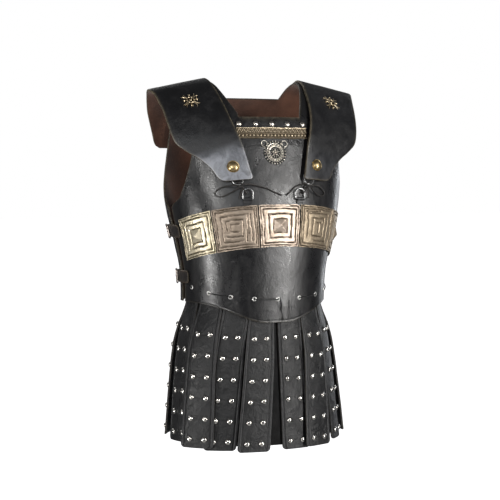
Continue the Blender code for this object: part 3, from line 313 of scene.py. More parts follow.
def leather(name, colours, look, polishAndSheen):
    f = Finish(name)
    dark, base, rubColour, wearColour = colours
    blotch = f.clouds(look["blotch"], 5.0, 0.6)
    rub = f.clouds(look["rub"], 7.0, 0.68, f.stretched(1.0, 1.0, look["rubTall"]), 0.6)
    speck = f.clouds(420, 3.0, 0.7)
    rubbed = f.sum("MULTIPLY", f.between(rub, 0.50, 0.74), f.between(speck, 0.36, 0.66))
    wear = f.sum("MULTIPLY", f.painted("wear"), f.between(f.clouds(130, 5.0, 0.7), 0.30, 0.62))
    colour = f.blend(f.between(blotch, 0.35, 0.68), dark, base)
    colour = f.blend(f.sum("MULTIPLY", rubbed, look["rubShare"]), colour, rubColour)
    colour = f.blend(wear, colour, wearColour)
    shine = look["shine"]
    if polishAndSheen:  # a rubbed patch, glossier under a coat and lightened to blue-grey as a painted sheen highlight, where the mesh is painted for it
        polishAndSheenMask = f.sum("MULTIPLY", f.painted("polishAndSheen"), f.between(rub, 0.36, 0.60, 0.30, 1.0))
        shine = f.between(polishAndSheenMask, 0.0, 1.0, shine, 1.0)
        f.give(Coat_Weight=polishAndSheenMask, Coat_Roughness=polishAndSheen["roughness"])
        # painted sheen highlight: the rubbed patch's colour is lightened towards a blue-grey
        colour = f.blend(polishAndSheenMask, colour, polishAndSheen["colour"])
    rough = f.sum("ADD", f.between(rub, 0.35, 0.70, look["gloss"], look["gloss"] + 0.20),
                  f.between(speck, 0.40, 0.70, 0.0, 0.10))
    f.give(Base_Color=colour, Roughness=rough, Specular_IOR_Level=shine)
    f.give(Sheen_Weight=look["sheen"], Sheen_Roughness=0.5)
    grain = f.cells(look["grain"], "SMOOTH_F1", f.stretched(1.0, 1.0, 0.8))
    folds = f.clouds(look["folds"], 6.0, 0.62, None, 0.8)
    pebble = f.clouds(170, 5.0, 0.65, None, 0.4)
    f.bumps((folds, look["foldDepth"], 0.004), (pebble, look["pebble"], 0.0008),
            (grain, look["grainDepth"], 0.0005), (speck, 0.22, 0.0004))
    return f.material


def edgeLeather(name, dark, light):
    f = Finish(name)
    stain = f.clouds(95, 6.0, 0.7)
    colour = f.blend(f.between(stain, 0.36, 0.64), dark, light)
    f.give(Base_Color=colour, Roughness=f.between(stain, 0.3, 0.7, 0.75, 0.5))
    f.bumps((f.clouds(900, 2.0, 0.5), 0.5, 0.0004))
    return f.material


def suede(name, dark, light, napColour):
    f = Finish(name)
    nap = f.clouds(260, 6.0, 0.7)
    colour = f.blend(f.between(f.clouds(18, 4.0, 0.5), 0.35, 0.65), dark, light)
    colour = f.blend(f.between(nap, 0.55, 0.75, 0, 0.35), colour, napColour)
    f.give(Base_Color=colour, Roughness=0.92, Specular_IOR_Level=0.15, Sheen_Weight=0.35)
    f.bumps((nap, 0.6, 0.0008))
    return f.material


# relief is painted on the mesh: 0 in the grooves, 1 on the high faces
def castMetal(name, base, second, stain, groove, toneScale, metallic, gloss):
    f = Finish(name)
    tone = f.clouds(toneScale, 5.0, 0.6)
    streak = f.clouds(150, 5.0, 0.7, f.stretched(0.35, 0.35, 1.0), 1.5)
    pits = f.clouds(650, 4.0, 0.75)
    colour = f.blend(f.between(tone, 0.34, 0.66), base, second)
    colour = f.blend(f.between(streak, 0.52, 0.72, 0, 0.55), colour, stain)
    high = f.sum("ADD", f.between(f.painted("relief"), 0.12, 0.80), f.between(pits, 0.60, 0.80, 0, 0.12))
    colour = f.blend(high, groove, colour)
    rough = f.sum("ADD", f.between(streak, 0.35, 0.65, gloss, gloss + 0.16),
                  f.between(high, 0.0, 1.0, 0.22, 0.0))
    f.give(Base_Color=colour, Metallic=metallic, Roughness=rough)
    f.bumps((streak, 0.35, 0.0006), (pits, 0.45, 0.0003))
    return f.material


def smoothMetal(name, base, tarnish, hazeScale, gloss):
    f = Finish(name)
    haze = f.clouds(hazeScale, 5.0, 0.65)
    scratches = f.clouds(900, 3.0, 0.7, f.stretched(1.0, 1.0, 0.15))
    colour = f.blend(f.between(haze, 0.42, 0.72), base, tarnish)
    f.give(Base_Color=colour, Metallic=1.0, Roughness=f.between(haze, 0.30, 0.70, gloss, gloss + 0.16))
    f.bumps((scratches, 0.12, 0.0002))
    return f.material


# each leather's dark, base, rubbed and worn colour, then the numbers that leatherWords names
leatherWords = ("blotch", "rub", "rubTall", "rubShare", "gloss", "shine", "sheen", "grain", "grainDepth",
                "folds", "foldDepth", "pebble")
leatherLooks = {
    "blackPlateLeather": (
        (0.0026, 0.0026, 0.0033), (0.0062, 0.0060, 0.0068), (0.034, 0.031, 0.029), (0.080, 0.066, 0.044),
        13, 30, 0.40, 0.60, 0.22, 0.60, 0.02, 620, 0.26, 26, 0.28, 0.36),
    "blackGuardLeather": (
        (0.0026, 0.0026, 0.0032), (0.0060, 0.0060, 0.0070), (0.028, 0.027, 0.028), (0.115, 0.096, 0.062),
        17, 42, 0.8, 0.60, 0.30, 0.50, 0.02, 560, 0.25, 32, 0.16, 0.28),
    "blackStripLeather": (
        (0.0024, 0.0024, 0.0030), (0.0056, 0.0056, 0.0064), (0.026, 0.026, 0.027), (0.050, 0.050, 0.052),
        22, 60, 0.7, 0.50, 0.36, 0.40, 0.03, 480, 0.50, 48, 0.80, 0.60),
    "plainTongueLeather": (
        (0.0010, 0.0010, 0.0012), (0.0020, 0.0020, 0.0023), (0.005, 0.005, 0.006), (0.010, 0.010, 0.010),
        20, 50, 0.6, 0.20, 0.55, 0.14, 0.03, 520, 0.35, 40, 0.30, 0.35),
    "brownStrapLeather": (
        (0.0055, 0.0045, 0.0040), (0.0140, 0.0105, 0.0085), (0.042, 0.030, 0.024), (0.090, 0.064, 0.044),
        45, 90, 1.0, 0.5, 0.36, 0.5, 0.03, 560, 0.35, 60, 0.25, 0.35),
    "darkThong": (
        (0.0070, 0.0055, 0.0045), (0.0180, 0.0145, 0.0120), (0.055, 0.045, 0.036), (0.1, 0.08, 0.06),
        90, 160, 1.0, 0.4, 0.46, 0.45, 0.05, 900, 0.40, 120, 0.2, 0.2),
    "blackLace": (
        (0.0040, 0.0040, 0.0045), (0.0090, 0.0090, 0.0095), (0.025, 0.025, 0.025), (0.05, 0.05, 0.05),
        90, 160, 1.0, 0.4, 0.42, 0.45, 0.03, 900, 0.40, 120, 0.2, 0.2),
}
# the guards' rubbed patch: its coat roughness, and a light blue-grey colour that paints a sheen highlight on
# it
polishAndSheenLooks = {"blackGuardLeather": {"roughness": 0.36, "colour": (0.150, 0.158, 0.182)}}
leathers = {name: leather(name, row[:4], dict(zip(leatherWords, row[4:])), polishAndSheenLooks.get(name))
            for name, row in leatherLooks.items()}
paleEdge = edgeLeather("paleCutEdge", (0.040, 0.033, 0.022), (0.140, 0.112, 0.072))
plateEdge = edgeLeather("plateCutEdge", (0.018, 0.015, 0.011), (0.078, 0.062, 0.040))
darkEdge = edgeLeather("dyedCutEdge", (0.012, 0.011, 0.011), (0.050, 0.044, 0.036))
brownSuede = suede("brownSuede", (0.085, 0.038, 0.024), (0.175, 0.078, 0.048), (0.26, 0.13, 0.085))

# two tones, stain and grooves, then the scale of the tones, how metallic and the least roughness
castLooks = {
    "yellowBronze": ((0.60, 0.52, 0.36), (0.76, 0.68, 0.53), (0.32, 0.285, 0.18), (0.072, 0.058, 0.030),
                     60, 0.80, 0.36),
    "dullBronze": ((0.27, 0.215, 0.165), (0.36, 0.295, 0.235), (0.16, 0.125, 0.09), (0.055, 0.040, 0.028),
                   55, 0.80, 0.38),
    "pinkBronze": ((0.42, 0.335, 0.265), (0.58, 0.485, 0.40), (0.23, 0.175, 0.13), (0.060, 0.042, 0.030),
                   55, 0.80, 0.36),
    "brownBronze": ((0.27, 0.215, 0.15), (0.37, 0.30, 0.215), (0.17, 0.13, 0.085), (0.060, 0.043, 0.028),
                    55, 0.80, 0.38),
    "trimBronze": ((0.40, 0.32, 0.215), (0.55, 0.46, 0.335), (0.22, 0.175, 0.115), (0.075, 0.058, 0.038),
                   160, 0.85, 0.32),
    "oldSilver": ((0.62, 0.57, 0.49), (0.78, 0.74, 0.67), (0.38, 0.34, 0.28), (0.030, 0.027, 0.024),
                  190, 0.92, 0.24),
    "starSilver": ((0.44, 0.35, 0.22), (0.60, 0.50, 0.35), (0.25, 0.19, 0.11), (0.040, 0.031, 0.020),
                   190, 0.92, 0.26),
    "darkSetting": ((0.008, 0.008, 0.008), (0.014, 0.013, 0.012), (0.006, 0.006, 0.006),
                    (0.004, 0.004, 0.004), 190, 0.2, 0.55),
}
# clean and tarnished colour, scale of the haze and the least roughness
smoothLooks = {
    "nickel": ((0.62, 0.60, 0.565), (0.40, 0.38, 0.35), 240, 0.13),
    "neckNickel": ((0.72, 0.67, 0.61), (0.42, 0.37, 0.32), 260, 0.20),
    "grommetNickel": ((0.66, 0.65, 0.63), (0.38, 0.37, 0.36), 300, 0.34),
    "darkNickel": ((0.50, 0.50, 0.50), (0.22, 0.22, 0.22), 300, 0.22),
    "brass": ((0.50, 0.38, 0.20), (0.24, 0.175, 0.09), 200, 0.27),
    "buckleMetal": ((0.42, 0.38, 0.35), (0.20, 0.165, 0.145), 260, 0.26),
}
metals = {name: castMetal(name, *look) for name, look in castLooks.items()}
metals.update({name: smoothMetal(name, *look) for name, look in smoothLooks.items()})
print("materials made")


# torso surface, the same one the solids follow

torso = {"halfBreadth": 0.178, "front": 0.139, "back": 0.108, "length": 0.500, "ridgeY": 0.008,
         "slope": 0.21, "slopeFade": 0.150, "neckRootX": 0.095}
# drop, breadth, front, back (shares of the sizes above) and squareness
torsoSections = (
    (0.000, 1.135, 0.000, 0.000, 2.2),
    (0.004, 1.135, 0.094, 0.111, 2.2),
    (0.016, 1.135, 0.209, 0.250, 2.2),
    (0.040, 1.135, 0.331, 0.389, 2.2),
    (0.088, 1.135, 0.504, 0.574, 2.2),
    (0.152, 1.130, 0.676, 0.759, 2.2),
    (0.240, 1.118, 0.784, 0.898, 2.25),
    (0.340, 1.090, 0.867, 0.972, 2.3),
    (0.450, 1.045, 0.950, 1.000, 2.35),
    (0.540, 0.997, 0.996, 0.991, 2.4),
    (0.660, 0.915, 1.000, 0.907, 2.4),
    (0.770, 0.855, 0.971, 0.824, 2.3),
    (0.886, 0.842, 0.942, 0.806, 2.25),
    (1.000, 0.856, 0.899, 0.861, 2.2),
)
lastRow = len(torsoSections) - 1
sectionDrops = [row[0] for row in torsoSections]


def thereAndBack(column, backShare=1.0, frontShare=1.0, backColumn=None):
    backValues = [backShare * row[backColumn or column] for row in torsoSections[:0:-1]]
    return backValues + [frontShare * row[column] for row in torsoSections]


loopDrops = thereAndBack(0)
loopBreadths = thereAndBack(1)
loopDepths = thereAndBack(2, -torso["back"], torso["front"], 3)
loopSquareness = thereAndBack(4)
rowTable = tabled(lambda share: indexAt(sectionDrops, share), 3000)


def rowAt(drop):
    return rowTable(drop / torso["length"])


def section(row):  # negative rows are on the back
    index = row + lastRow
    drop = torso["length"] * through(loopDrops, index)
    breadth = torso["halfBreadth"] * through(loopBreadths, index)
    return drop, breadth, through(loopDepths, index), through(loopSquareness, index)


def torsoAt(row, degrees):
    drop, breadth, depth, power = section(row)
    x = breadth * math.sin(math.radians(degrees))
    y = torso["ridgeY"] - depth * max(0.0, 1 - min(1.0, abs(x) / breadth) ** power) ** (1 / power)
    fade = max(0.0, 1 - drop / torso["slopeFade"])
    return Vector((x, y, -drop - torso["slope"] * max(0.0, abs(x) - torso["neckRootX"]) * fade))


# steps across and along at which the slope of each surface is read
slopeSteps = {"torso": (0.8, 0.04), "ring": (1.5, 0.004), "guard": (0.003, 0.05)}


def lifted(surface, u, v, lift, kind, core):
    here = surface(u, v)
    if not lift:
        return here
    du, dv = slopeSteps[kind]
    along = surface(u, v + dv) - surface(u, v - dv)
    across = surface(u + du, v) - surface(u - du, v)
    normal = across.cross(along).normalized()
    if normal.dot(here - core) < 0:
        normal = -normal
    return here + normal * lift


def torsoPoint(row, angle, lift=0.0):
    core = Vector((0, torso["ridgeY"], -0.10 - 0.6 * abs(section(row)[0])))

    def surface(degrees, r):
        return torsoAt(min(max(r, -lastRow), lastRow), min(max(degrees, -89.9), 89.9))

    return lifted(surface, angle, row, lift, "torso", core)


def ringPoint(drop, angle, lift=0.0):  # angles past 90 degrees are on the back

    def surface(degrees, d):
        degrees = (degrees + 180) % 360 - 180
        row = rowAt(d)
        if abs(degrees) <= 90:
            return torsoAt(row, degrees)
        return torsoAt(-row, math.copysign(180 - abs(degrees), degrees))

    return lifted(surface, angle, drop, lift, "ring", Vector((0, torso["ridgeY"], -drop)))


def sineAngle(share):
    return math.degrees(math.asin(max(-1.0, min(1.0, share))))


def angleOf(x, drop):
    return sineAngle(x / section(rowAt(drop))[1])


# mesh building

def meshPiece(name, bm, materials, sharp=40):
    bmesh.ops.recalc_face_normals(bm, faces=bm.faces)
    mesh = bpy.data.meshes.new(name)
    bm.to_mesh(mesh)
    bm.free()
    for material in materials:
        mesh.materials.append(material)
    mesh.shade_smooth()
    mesh.set_sharp_from_angle(angle=math.radians(sharp))
    return linked(name, mesh)


def dress(obj, slot, *nodes):
    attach(obj, bodyName)
    if nodes:
        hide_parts(*nodes)
    return obj


# closed sheet with its points at place(i, j, outer), cells left out where keep says no, and the
# attributes in painted, each a function of (i, j); materials are outer face, cut edge and inner face
def sheetPiece(name, place, columns, rows, materials, keep=None, painted=None, rounding=0.0006, sharp=40):
    bm = bmesh.new()
    rounded = bm.edges.layers.float.new("bevel_weight_edge")
    layers = {label: bm.verts.layers.float.new(label) for label in painted or ()}
    kept = {(i, j) for i in range(columns) for j in range(rows) if keep is None or keep(i, j)}
    points = {}

    def vert(i, j, outer):
        if (i, j, outer) not in points:
            point = bm.verts.new(place(i, j, outer))
            if outer:
                for label, layer in layers.items():
                    point[layer] = painted[label](i, j)
            points[i, j, outer] = point
        return points[i, j, outer]

    rim = []
    for i, j in sorted(kept):
        loop = [(i, j), (i + 1, j), (i + 1, j + 1), (i, j + 1)]
        bm.faces.new([vert(*corner, True) for corner in loop])
        inner = bm.faces.new([vert(*corner, False) for corner in reversed(loop)])
        inner.material_index = 2 if len(materials) > 2 else 0
        for k, beside in enumerate(((i, j - 1), (i + 1, j), (i, j + 1), (i - 1, j))):
            if beside not in kept:
                a, b = loop[k], loop[(k + 1) % 4]
                side = bm.faces.new((vert(*b, True), vert(*a, True), vert(*a, False), vert(*b, False)))
                side.material_index = min(1, len(materials) - 1)
                rim.append((vert(*a, True), vert(*b, True)))
                rim.append((vert(*a, False), vert(*b, False)))
    for a, b in rim:
        bm.edges.get((a, b))[rounded] = 1.0
    obj = meshPiece(name, bm, materials, sharp)
    if rounding:
        bevel = obj.modifiers.new("roundedEdge", "BEVEL")
        bevel.limit_method = "WEIGHT"
        bevel.width = rounding
        bevel.segments = 2
    return obj


def bridge(bm, low, high, index=0):  # faces between two rings of points
    for k in range(len(low)):
        n = (k + 1) % len(low)
        bm.faces.new((low[k], low[n], high[n], high[k])).material_index = index


def hoop(bm, centre, side, up, radius, count):  # points round a centre
    turns = [2 * math.pi * k / count for k in range(count)]
    return [bm.verts.new(centre + (side * math.cos(a) + up * math.sin(a)) * radius) for a in turns]


def paint(rings, layer, value):
    for ring in rings if layer else ():
        for point in ring:
            point[layer] = value


# turned solid, profile (radius, height) from the base centre to the top centre
def turned(bm, profile, sides, place, index=0, layer=None, value=1.0):
    turns = [2 * math.pi * (k + 0.5) / sides for k in range(sides)]
    rings = []
    for radius, height in profile:
        around = turns if radius else [0.0]
        rings.append([bm.verts.new(place(*polar(radius, a), height)) for a in around])
    paint(rings, layer, value)
    for low, high in zip(rings, rings[1:]):
        if len(low) == len(high):
            bridge(bm, low, high, index)
            continue
        for k in range(sides):
            n = (k + 1) % sides
            corners = (low[0], high[n], high[k]) if len(low) == 1 else (low[k], low[n], high[0])
            bm.faces.new(corners).material_index = index


def turnedRing(bm, profile, sides, place):  # profile is a closed outline off the axis
    rings = []
    for k in range(sides):
        turn = 2 * math.pi * k / sides
        rings.append([bm.verts.new(place(*polar(r, turn), z)) for r, z in profile])
    for a, b in zip(rings, rings[1:] + rings[:1]):
        bridge(bm, a, b)


# round wire through centres, with a frame carried along it
def wire(bm, centres, radius, sides, closed=False, layer=None, taper=None):
    count = len(centres)
    along = []
    for k in range(count):
        before = centres[k - 1] if closed or k else centres[k]
        after = centres[(k + 1) % count] if closed or k < count - 1 else centres[k]
        along.append((after - before).normalized())
    side = along[0].orthogonal().normalized()
    rings = []
    for k, centre in enumerate(centres):
        side = (side - along[k] * side.dot(along[k])).normalized()
        up = along[k].cross(side)
        thickness = radius * (taper(k / (count - 1)) if taper else 1.0)
        rings.append(hoop(bm, centre, side, up, thickness, sides))
    paint(rings, layer, 1.0)
    joints = list(zip(rings, rings[1:]))
    if closed:  # the last ring may have turned against the first, so match them by the nearest point
        first = rings[0]
        shift = min(range(sides), key=lambda s: (first[s].co - rings[-1][0].co).length)
        joints.append((rings[-1], first[shift:] + first[:shift]))
    for a, b in joints:
        bridge(bm, a, b)
    if not closed:
        bm.faces.new(rings[0])
        bm.faces.new(rings[-1])


def domeProfile(radius, height, steps=7, lip=0.0004):
    profile = [(0.0, 0.0), (radius, 0.0), (radius, lip)]
    for k in range(1, steps):
        turn = math.pi / 2 * k / steps
        profile.append((radius * math.cos(turn), lip + (height - lip) * math.sin(turn)))
    return profile + [(0.0, height)]


def torsoPatch(x, drop, lift):
    def place(dx, dy, dz):
        d = drop - dy
        return torsoPoint(rowAt(d), angleOf(x + dx, d), lift + dz)

    return place


def movedPatch(place, x, y):
    return lambda dx, dy, dz: place(x + dx, y + dy, dz)


def turnedPatch(place, c, s, stretch):  # x runs outwards, stretched
    return lambda dx, dy, dz: place(dx * stretch * c - dy * s, dx * stretch * s + dy * c, dz)


def flatPatch(origin, outward):
    z = outward.normalized()
    x = Vector((0, 0, 1)).cross(z).normalized()
    y = z.cross(x)
    return lambda dx, dy, dz: origin + x * dx + y * dy + z * dz


def smoothRoute(points, step):  # evenly spaced points on a smooth way through the given ones
    axes = [[p[k] for p in points] for k in range(3)]
    perSpan = 16
    count = (len(points) - 1) * perSpan
    fine = [Vector([through(axis, i / perSpan) for axis in axes]) for i in range(count + 1)]
    length = sum((b - a).length for a, b in zip(fine, fine[1:]))
    parts = max(2, round(length / step))
    spaced, walked = [fine[0]], 0.0
    for a, b in zip(fine, fine[1:]):
        part = (b - a).length
        while len(spaced) < parts and walked + part >= length * len(spaced) / parts:
            spaced.append(a.lerp(b, (length * len(spaced) / parts - walked) / part))
        walked += part
    return spaced + [fine[-1]]


cordStep = 0.0022


def cordPiece(name, points, radius, leatherName, node, length):
    route = smoothRoute(points, cordStep)
    curve = bpy.data.curves.new(name, "CURVE")
    curve.dimensions = "3D"
    curve.bevel_depth = radius
    curve.bevel_resolution = 4
    curve.use_fill_caps = True
    spline = curve.splines.new("POLY")
    spline.points.add(len(route) - 1)
    for target, point in zip(spline.points, route):
        target.co = (*point, 1.0)
    curve.materials.append(leathers[leatherName])
    obj = dress(linked(name, curve), "thong_leather", node)
    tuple(route[0])


# the tied thongs and the hem lace

leatherOf = {"plate": 0.0040, "guard": 0.0045, "skirt": 0.0030, "under": 0.0025, "strap": 0.0030,
             "tab": 0.0010}  # thickness of each
eyelets = {"count": 9, "hole": 0.0027, "drop": 0.4440, "rise": 0.0220, "endAngle": 77.0, "rim": 0.0050}
lace = {"radius": 0.0011, "length": 0.49, "seat": 0.0006, "behind": 0.0018, "tail": (8.5, 5.0, 2.0)}
ties = {"radius": 0.0013, "unit": 0.0120, "ringDrop": 0.2410, "guardRow": 10.95}
# side sign, breast ring, guard ring, reach of the inner tail and the thong's length
tieSides = (("right", -1, 0.066, 0.088, 0.084, 0.32), ("left", 1, 0.047, 0.071, 0.042, 0.28))
# inward, up and out in shares of the unit; the inner tail's inward is a share of its reach
thongTail = (
    (1.00, -1.50, 0.16), (0.79, -0.92, 0.16), (0.57, -0.25, 0.22), (0.36, 0.10, 0.34), (0.17, 0.30, 0.72),
)
thongRoute = (
    (0.10, 0.24, 0.98), (-0.40, 0.48, 0.97), (-0.72, 0.62, 0.62), (-0.68, 0.64, 0.26),
    (-0.45, 0.28, 0.14), (0.30, -0.40, 0.14), (0.62, -0.90, 0.16), (0.74, -1.25, 0.42),
    (0.56, -1.18, 0.84), (0.15, -0.60, 1.02), (-0.30, -0.05, 1.00), (-0.95, 0.04, 1.06),
    (-1.70, 0.02, 0.84), (-2.90, -0.10, 0.32), (-3.95, -0.80, 0.24), (-4.05, -1.45, 0.22),
    (-3.20, -1.70, 0.24), (-2.20, -1.30, 0.36), (-1.15, -0.70, 0.84), (-0.40, -0.18, 1.28),
    (0.02, -0.34, 1.34), (-0.22, -1.05, 0.86), (-0.50, -2.00, 0.34),
)


def eyeletDrop(angle):
    return eyelets["drop"] - eyelets["rise"] * (angle / eyelets["endAngle"]) ** 2


def eyeletSpots():
    for k in range(eyelets["count"]):
        angle = eyelets["endAngle"] * (2 * k / (eyelets["count"] - 1) - 1)
        yield angle, eyeletDrop(angle)


def tieThong(name, side, ringX, guardZ, guardX, tail, length):
    middleX, middleDrop = (ringX + guardX) / 2, (ties["ringDrop"] - guardZ) / 2
    unit = ties["unit"]
    points = []
    tailRoute = [(tail / unit * share, up, out) for share, up, out in thongTail]
    for inward, up, out in tailRoute + list(thongRoute):
        drop = middleDrop - up * unit
        angle = side * angleOf(middleX - inward * unit, drop)
        points.append(torsoPoint(rowAt(drop), angle, leatherOf["plate"] + out * unit))
    cordPiece(f"tieThong_{name}", points, ties["radius"], "darkThong", f"tie_thong_{name}", length)


def waistLace():
    over = leatherOf["plate"] + lace["radius"] + lace["seat"]
    behind = -lace["behind"] - lace["radius"]
    lifts = [over, (over + behind) / 2, behind]
    spots = list(eyeletSpots())
    first = spots[0][0]
    points = [ringPoint(eyeletDrop(first - back), first - back, over) for back in lace["tail"]]
    for k, (angle, drop) in enumerate(spots):  # in at one eyelet and out at the next
        points += [ringPoint(drop, angle, lift) for lift in lifts]
        if k < len(spots) - 1:
            for share in (0.12, 0.5, 0.88):
                a = mix(angle, spots[k + 1][0], share)
                points.append(ringPoint(eyeletDrop(a), a, lifts[-1]))
        lifts.reverse()
    cordPiece("waistLace", points, lace["radius"], "blackLace", "waist_lace", lace["length"])


# breastplate and backplate

plates = {"neckDrop": 0.0755, "backNeckDrop": 0.0320, "hemCentre": 0.4920, "hemSide": 0.4530,
          "hemFlatX": 0.020, "hemEndX": 0.150, "armpit": 0.262, "sideAngle": 87.6, "neckLane": 15.0,
          "wave": 0.00045, "waveScale": 17, "fineScale": 48, "hemLine": 0.0042, "lineDepth": 0.0005,
          "lineWidth": 0.0011, "ridgeFade": 0.03, "hemRows": (1.0, 0.9475, 7), "hemStart": 0.94}
beltAngles = (15.0, 48.5, 80.0)
belt = {"top": 0.2525, "sag": 0.0300, "height": 0.0840}
# drop as a share of the armpit drop, outer edge and neck edge as shares of the half breadth
armholeEdge = (
    (0.00, 0.899, 0.562), (0.15, 0.882, 0.466), (0.29, 0.876, 0.382), (0.46, 0.893, 0.370),
    (0.59, 0.916, 0.350), (0.70, 0.945, 0.330), (0.80, 0.972, 0.310), (0.88, 0.990, 0.290),
    (1.00, 1.000, 0.270),
)
outerEdge, neckEdge = edgeCurve(armholeEdge, 1), edgeCurve(armholeEdge, 2)
# creases below the fifth eyelet: x and drop at the top, x and drop at the foot, width and depth
creases = (
    (0.004, 0.450, 0.011, 0.486, 0.0016, 0.0010),
    (0.0255, 0.454, 0.0265, 0.484, 0.0016, 0.0009),
    (-0.090, 0.438, -0.074, 0.456, 0.0030, 0.0006),
)


def beltDrop(angle, share):
    return belt["top"] + belt["sag"] * (angle / beltAngles[-1]) ** 2 + belt["height"] * share


def hemDrop(angle, front):
    if not front:
        return plates["hemSide"]
    x = section(rowAt(plates["hemSide"]))[1] * abs(math.sin(math.radians(angle)))
    return mix(plates["hemCentre"], plates["hemSide"], smoothStep(x, plates["hemFlatX"], plates["hemEndX"]))


def plateDrop(kind, value, angle, front, neckDrop):
    if kind == "low":
        return mix(beltDrop(angle, 1.0), hemDrop(angle, front), value)
    if kind == "belt":
        return beltDrop(angle, value)
    armpit = beltDrop(angle, 0.0) - beltDrop(plates["sideAngle"], 0.0) + plates["armpit"]
    if kind == "between":
        return mix(beltDrop(angle, 0.0), armpit, value)
    return mix(armpit, neckDrop, value)


def laneAngle(lane, drop, row):
    nominal, breadth = abs(lane), section(row)[1]
    share = min(1.0, drop / plates["armpit"])
    outer = sineAngle(min(0.9995, torso["halfBreadth"] * outerEdge(share) / breadth))
    side = mix(outer, plates["sideAngle"], smoothStep(drop, plates["armpit"] * 0.90, plates["armpit"]))
    inner = sineAngle(torso["halfBreadth"] * neckEdge(share) / breadth)
    inner = mix(inner, plates["neckLane"], smoothStep(drop, plates["neckDrop"], plates["armpit"] * 0.7))
    if nominal <= plates["neckLane"] + 1e-6:
        angle = nominal * inner / plates["neckLane"]
    else:
        angle = mix(inner, side, (nominal - plates["neckLane"]) / (plates["sideAngle"] - plates["neckLane"]))
    return math.copysign(angle, lane)


def creaseDepth(x, drop):
    depth = 0.0
    for topX, topDrop, footX, footDrop, width, amount in creases:
        share = min(1.0, max(0.0, (drop - topDrop) / (footDrop - topDrop)))
        away = x - mix(topX, footX, share) - 0.0012 * math.sin(9 * share)
        beyond = max(0.0, topDrop - drop, drop - footDrop)
        profile = bell(away, width) - 0.45 * bell(abs(away) - 2.2 * width, width)
        depth += amount * profile * bell(beyond, 0.006)
    return depth


def bodyPlate(name, front, neckDrop, laneCounts, rowCounts, node):
    sign = 1 if front else -1
    inner, outer = laneCounts
    half = spread(0.0, plates["neckLane"], inner) + spread(plates["neckLane"], plates["sideAngle"], outer)[1:]
    lanes = [-angle for angle in half[:0:-1]] + half
    low = spread(*plates["hemRows"]) + spread(plates["hemStart"], 0.0, rowCounts[0])
    rows = [("low", value) for value in low]
    zones = (("belt", 1.0, 0.0), ("between", 0.0, 1.0), ("chest", 0.0, 1.0), ("strap", rowAt(neckDrop), 0.03))
    for (kind, start, end), count in zip(zones, rowCounts[1:]):
        rows += [(kind, value) for value in spread(start, end, count)[1:]]
    neckRow = len(rows) - 1 - rowCounts[-1]

    def place(i, j, outerFace):
        kind, value = rows[j]
        if kind == "strap":
            row, drop = value, section(value)[0]
        else:
            drop = plateDrop(kind, value, lanes[i], front, neckDrop)
            row = rowAt(drop)
        angle = laneAngle(lanes[i], drop, row)
        flat = torsoPoint(sign * row, angle)
        if not outerFace:
            return flat
        wave = plates["wave"] * noise.noise(flat * plates["waveScale"])
        wave += 0.5 * plates["wave"] * noise.noise(flat * plates["fineScale"])
        if front:
            wave -= creaseDepth(flat.x, drop)
        fromHem = hemDrop(lanes[i], front) - drop
        wave -= plates["lineDepth"] * bell(fromHem - plates["hemLine"], plates["lineWidth"])
        fade = smoothStep(abs(section(row)[0]), 0.0, plates["ridgeFade"])
        return torsoPoint(sign * row, angle, leatherOf["plate"] + wave * fade)

    def wear(i, j):
        side = math.exp(-(plates["sideAngle"] - abs(lanes[i])) / 0.9)
        hem = math.exp(-j / 1.6) * 0.6
        neck = 0.0
        if j >= neckRow and abs(lanes[i]) > plates["neckLane"] - 0.1:
            neck = math.exp(-(abs(lanes[i]) - plates["neckLane"]) / 0.9)
        elif abs(lanes[i]) <= plates["neckLane"]:
            neck = math.exp(-max(0, neckRow - j) / 1.3)
        return min(1.0, side + hem + neck)

    def keep(i, j):
        return j < neckRow or abs(lanes[i] + lanes[i + 1]) / 2 > plates["neckLane"]

    materials = [leathers["blackPlateLeather"], plateEdge, brownSuede]
    obj = sheetPiece(name, place, len(lanes) - 1, len(rows) - 1, materials, keep, {"wear": wear}, 0.0008)
    return dress(obj, "plate_leather", node)


def punched(obj, cutter):  # cuts the holes and keeps the result as the piece's own mesh
    modifier = obj.modifiers.new("holes", "BOOLEAN")
    modifier.object = cutter
    modifier.solver = "EXACT"
    modifier.operation = "DIFFERENCE"
    obj.modifiers.move(len(obj.modifiers) - 1, 0)
    bevel = obj.modifiers.get("roundedEdge")
    bevel.show_viewport = False
    bpy.context.view_layer.update()
    evaluated = obj.evaluated_get(bpy.context.evaluated_depsgraph_get())
    mesh = bpy.data.meshes.new_from_object(evaluated)
    obj.modifiers.remove(modifier)
    obj.data = mesh
    bevel.show_viewport = True
    bpy.data.objects.remove(cutter)


def eyeletPlaces():
    for angle, drop in eyeletSpots():
        base = ringPoint(drop, angle, 0.0)
        out = ringPoint(drop, angle, 0.012) - base
        yield flatPatch(base, out)


def eyeletCutter():
    bm = bmesh.new()
    for place in eyeletPlaces():
        turned(bm, ((0, -0.012), (eyelets["hole"], -0.012), (eyelets["hole"], 0.012), (0, 0.012)), 20, place)
    return meshPiece("eyeletCutter", bm, [])


def grommets():
    bm = bmesh.new()
    r, hole, top = eyelets["rim"], eyelets["hole"], leatherOf["plate"]
    outline = [(hole - 0.0004, -0.0012), (hole - 0.0004, top + 0.0006), (hole + 0.0002, top + 0.0012),
               (hole + 0.0009, top + 0.0014), (r - 0.0006, top + 0.0009), (r, top + 0.0001),
               (hole + 0.0001, top + 0.0001), (hole + 0.0001, -0.0012)]
    for place in eyeletPlaces():
        turnedRing(bm, outline, 28, place)
    dress(meshPiece("grommets", bm, [metals["grommetNickel"]], 50), "ring_nickel")


def thread(bm, here, there, radius):  # one stitch: a square bar with pointed ends
    along = (there - here).normalized()
    side = along.orthogonal().normalized()
    up = along.cross(side)
    ends = (bm.verts.new(here), bm.verts.new(there))
    low, high = (hoop(bm, here.lerp(there, share), side, up, radius, 4) for share in (0.22, 0.78))
    bridge(bm, low, high)
    for n in range(4):
        m = (n + 1) % 4
        bm.faces.new((ends[0], low[m], low[n]))
        bm.faces.new((ends[1], high[n], high[m]))


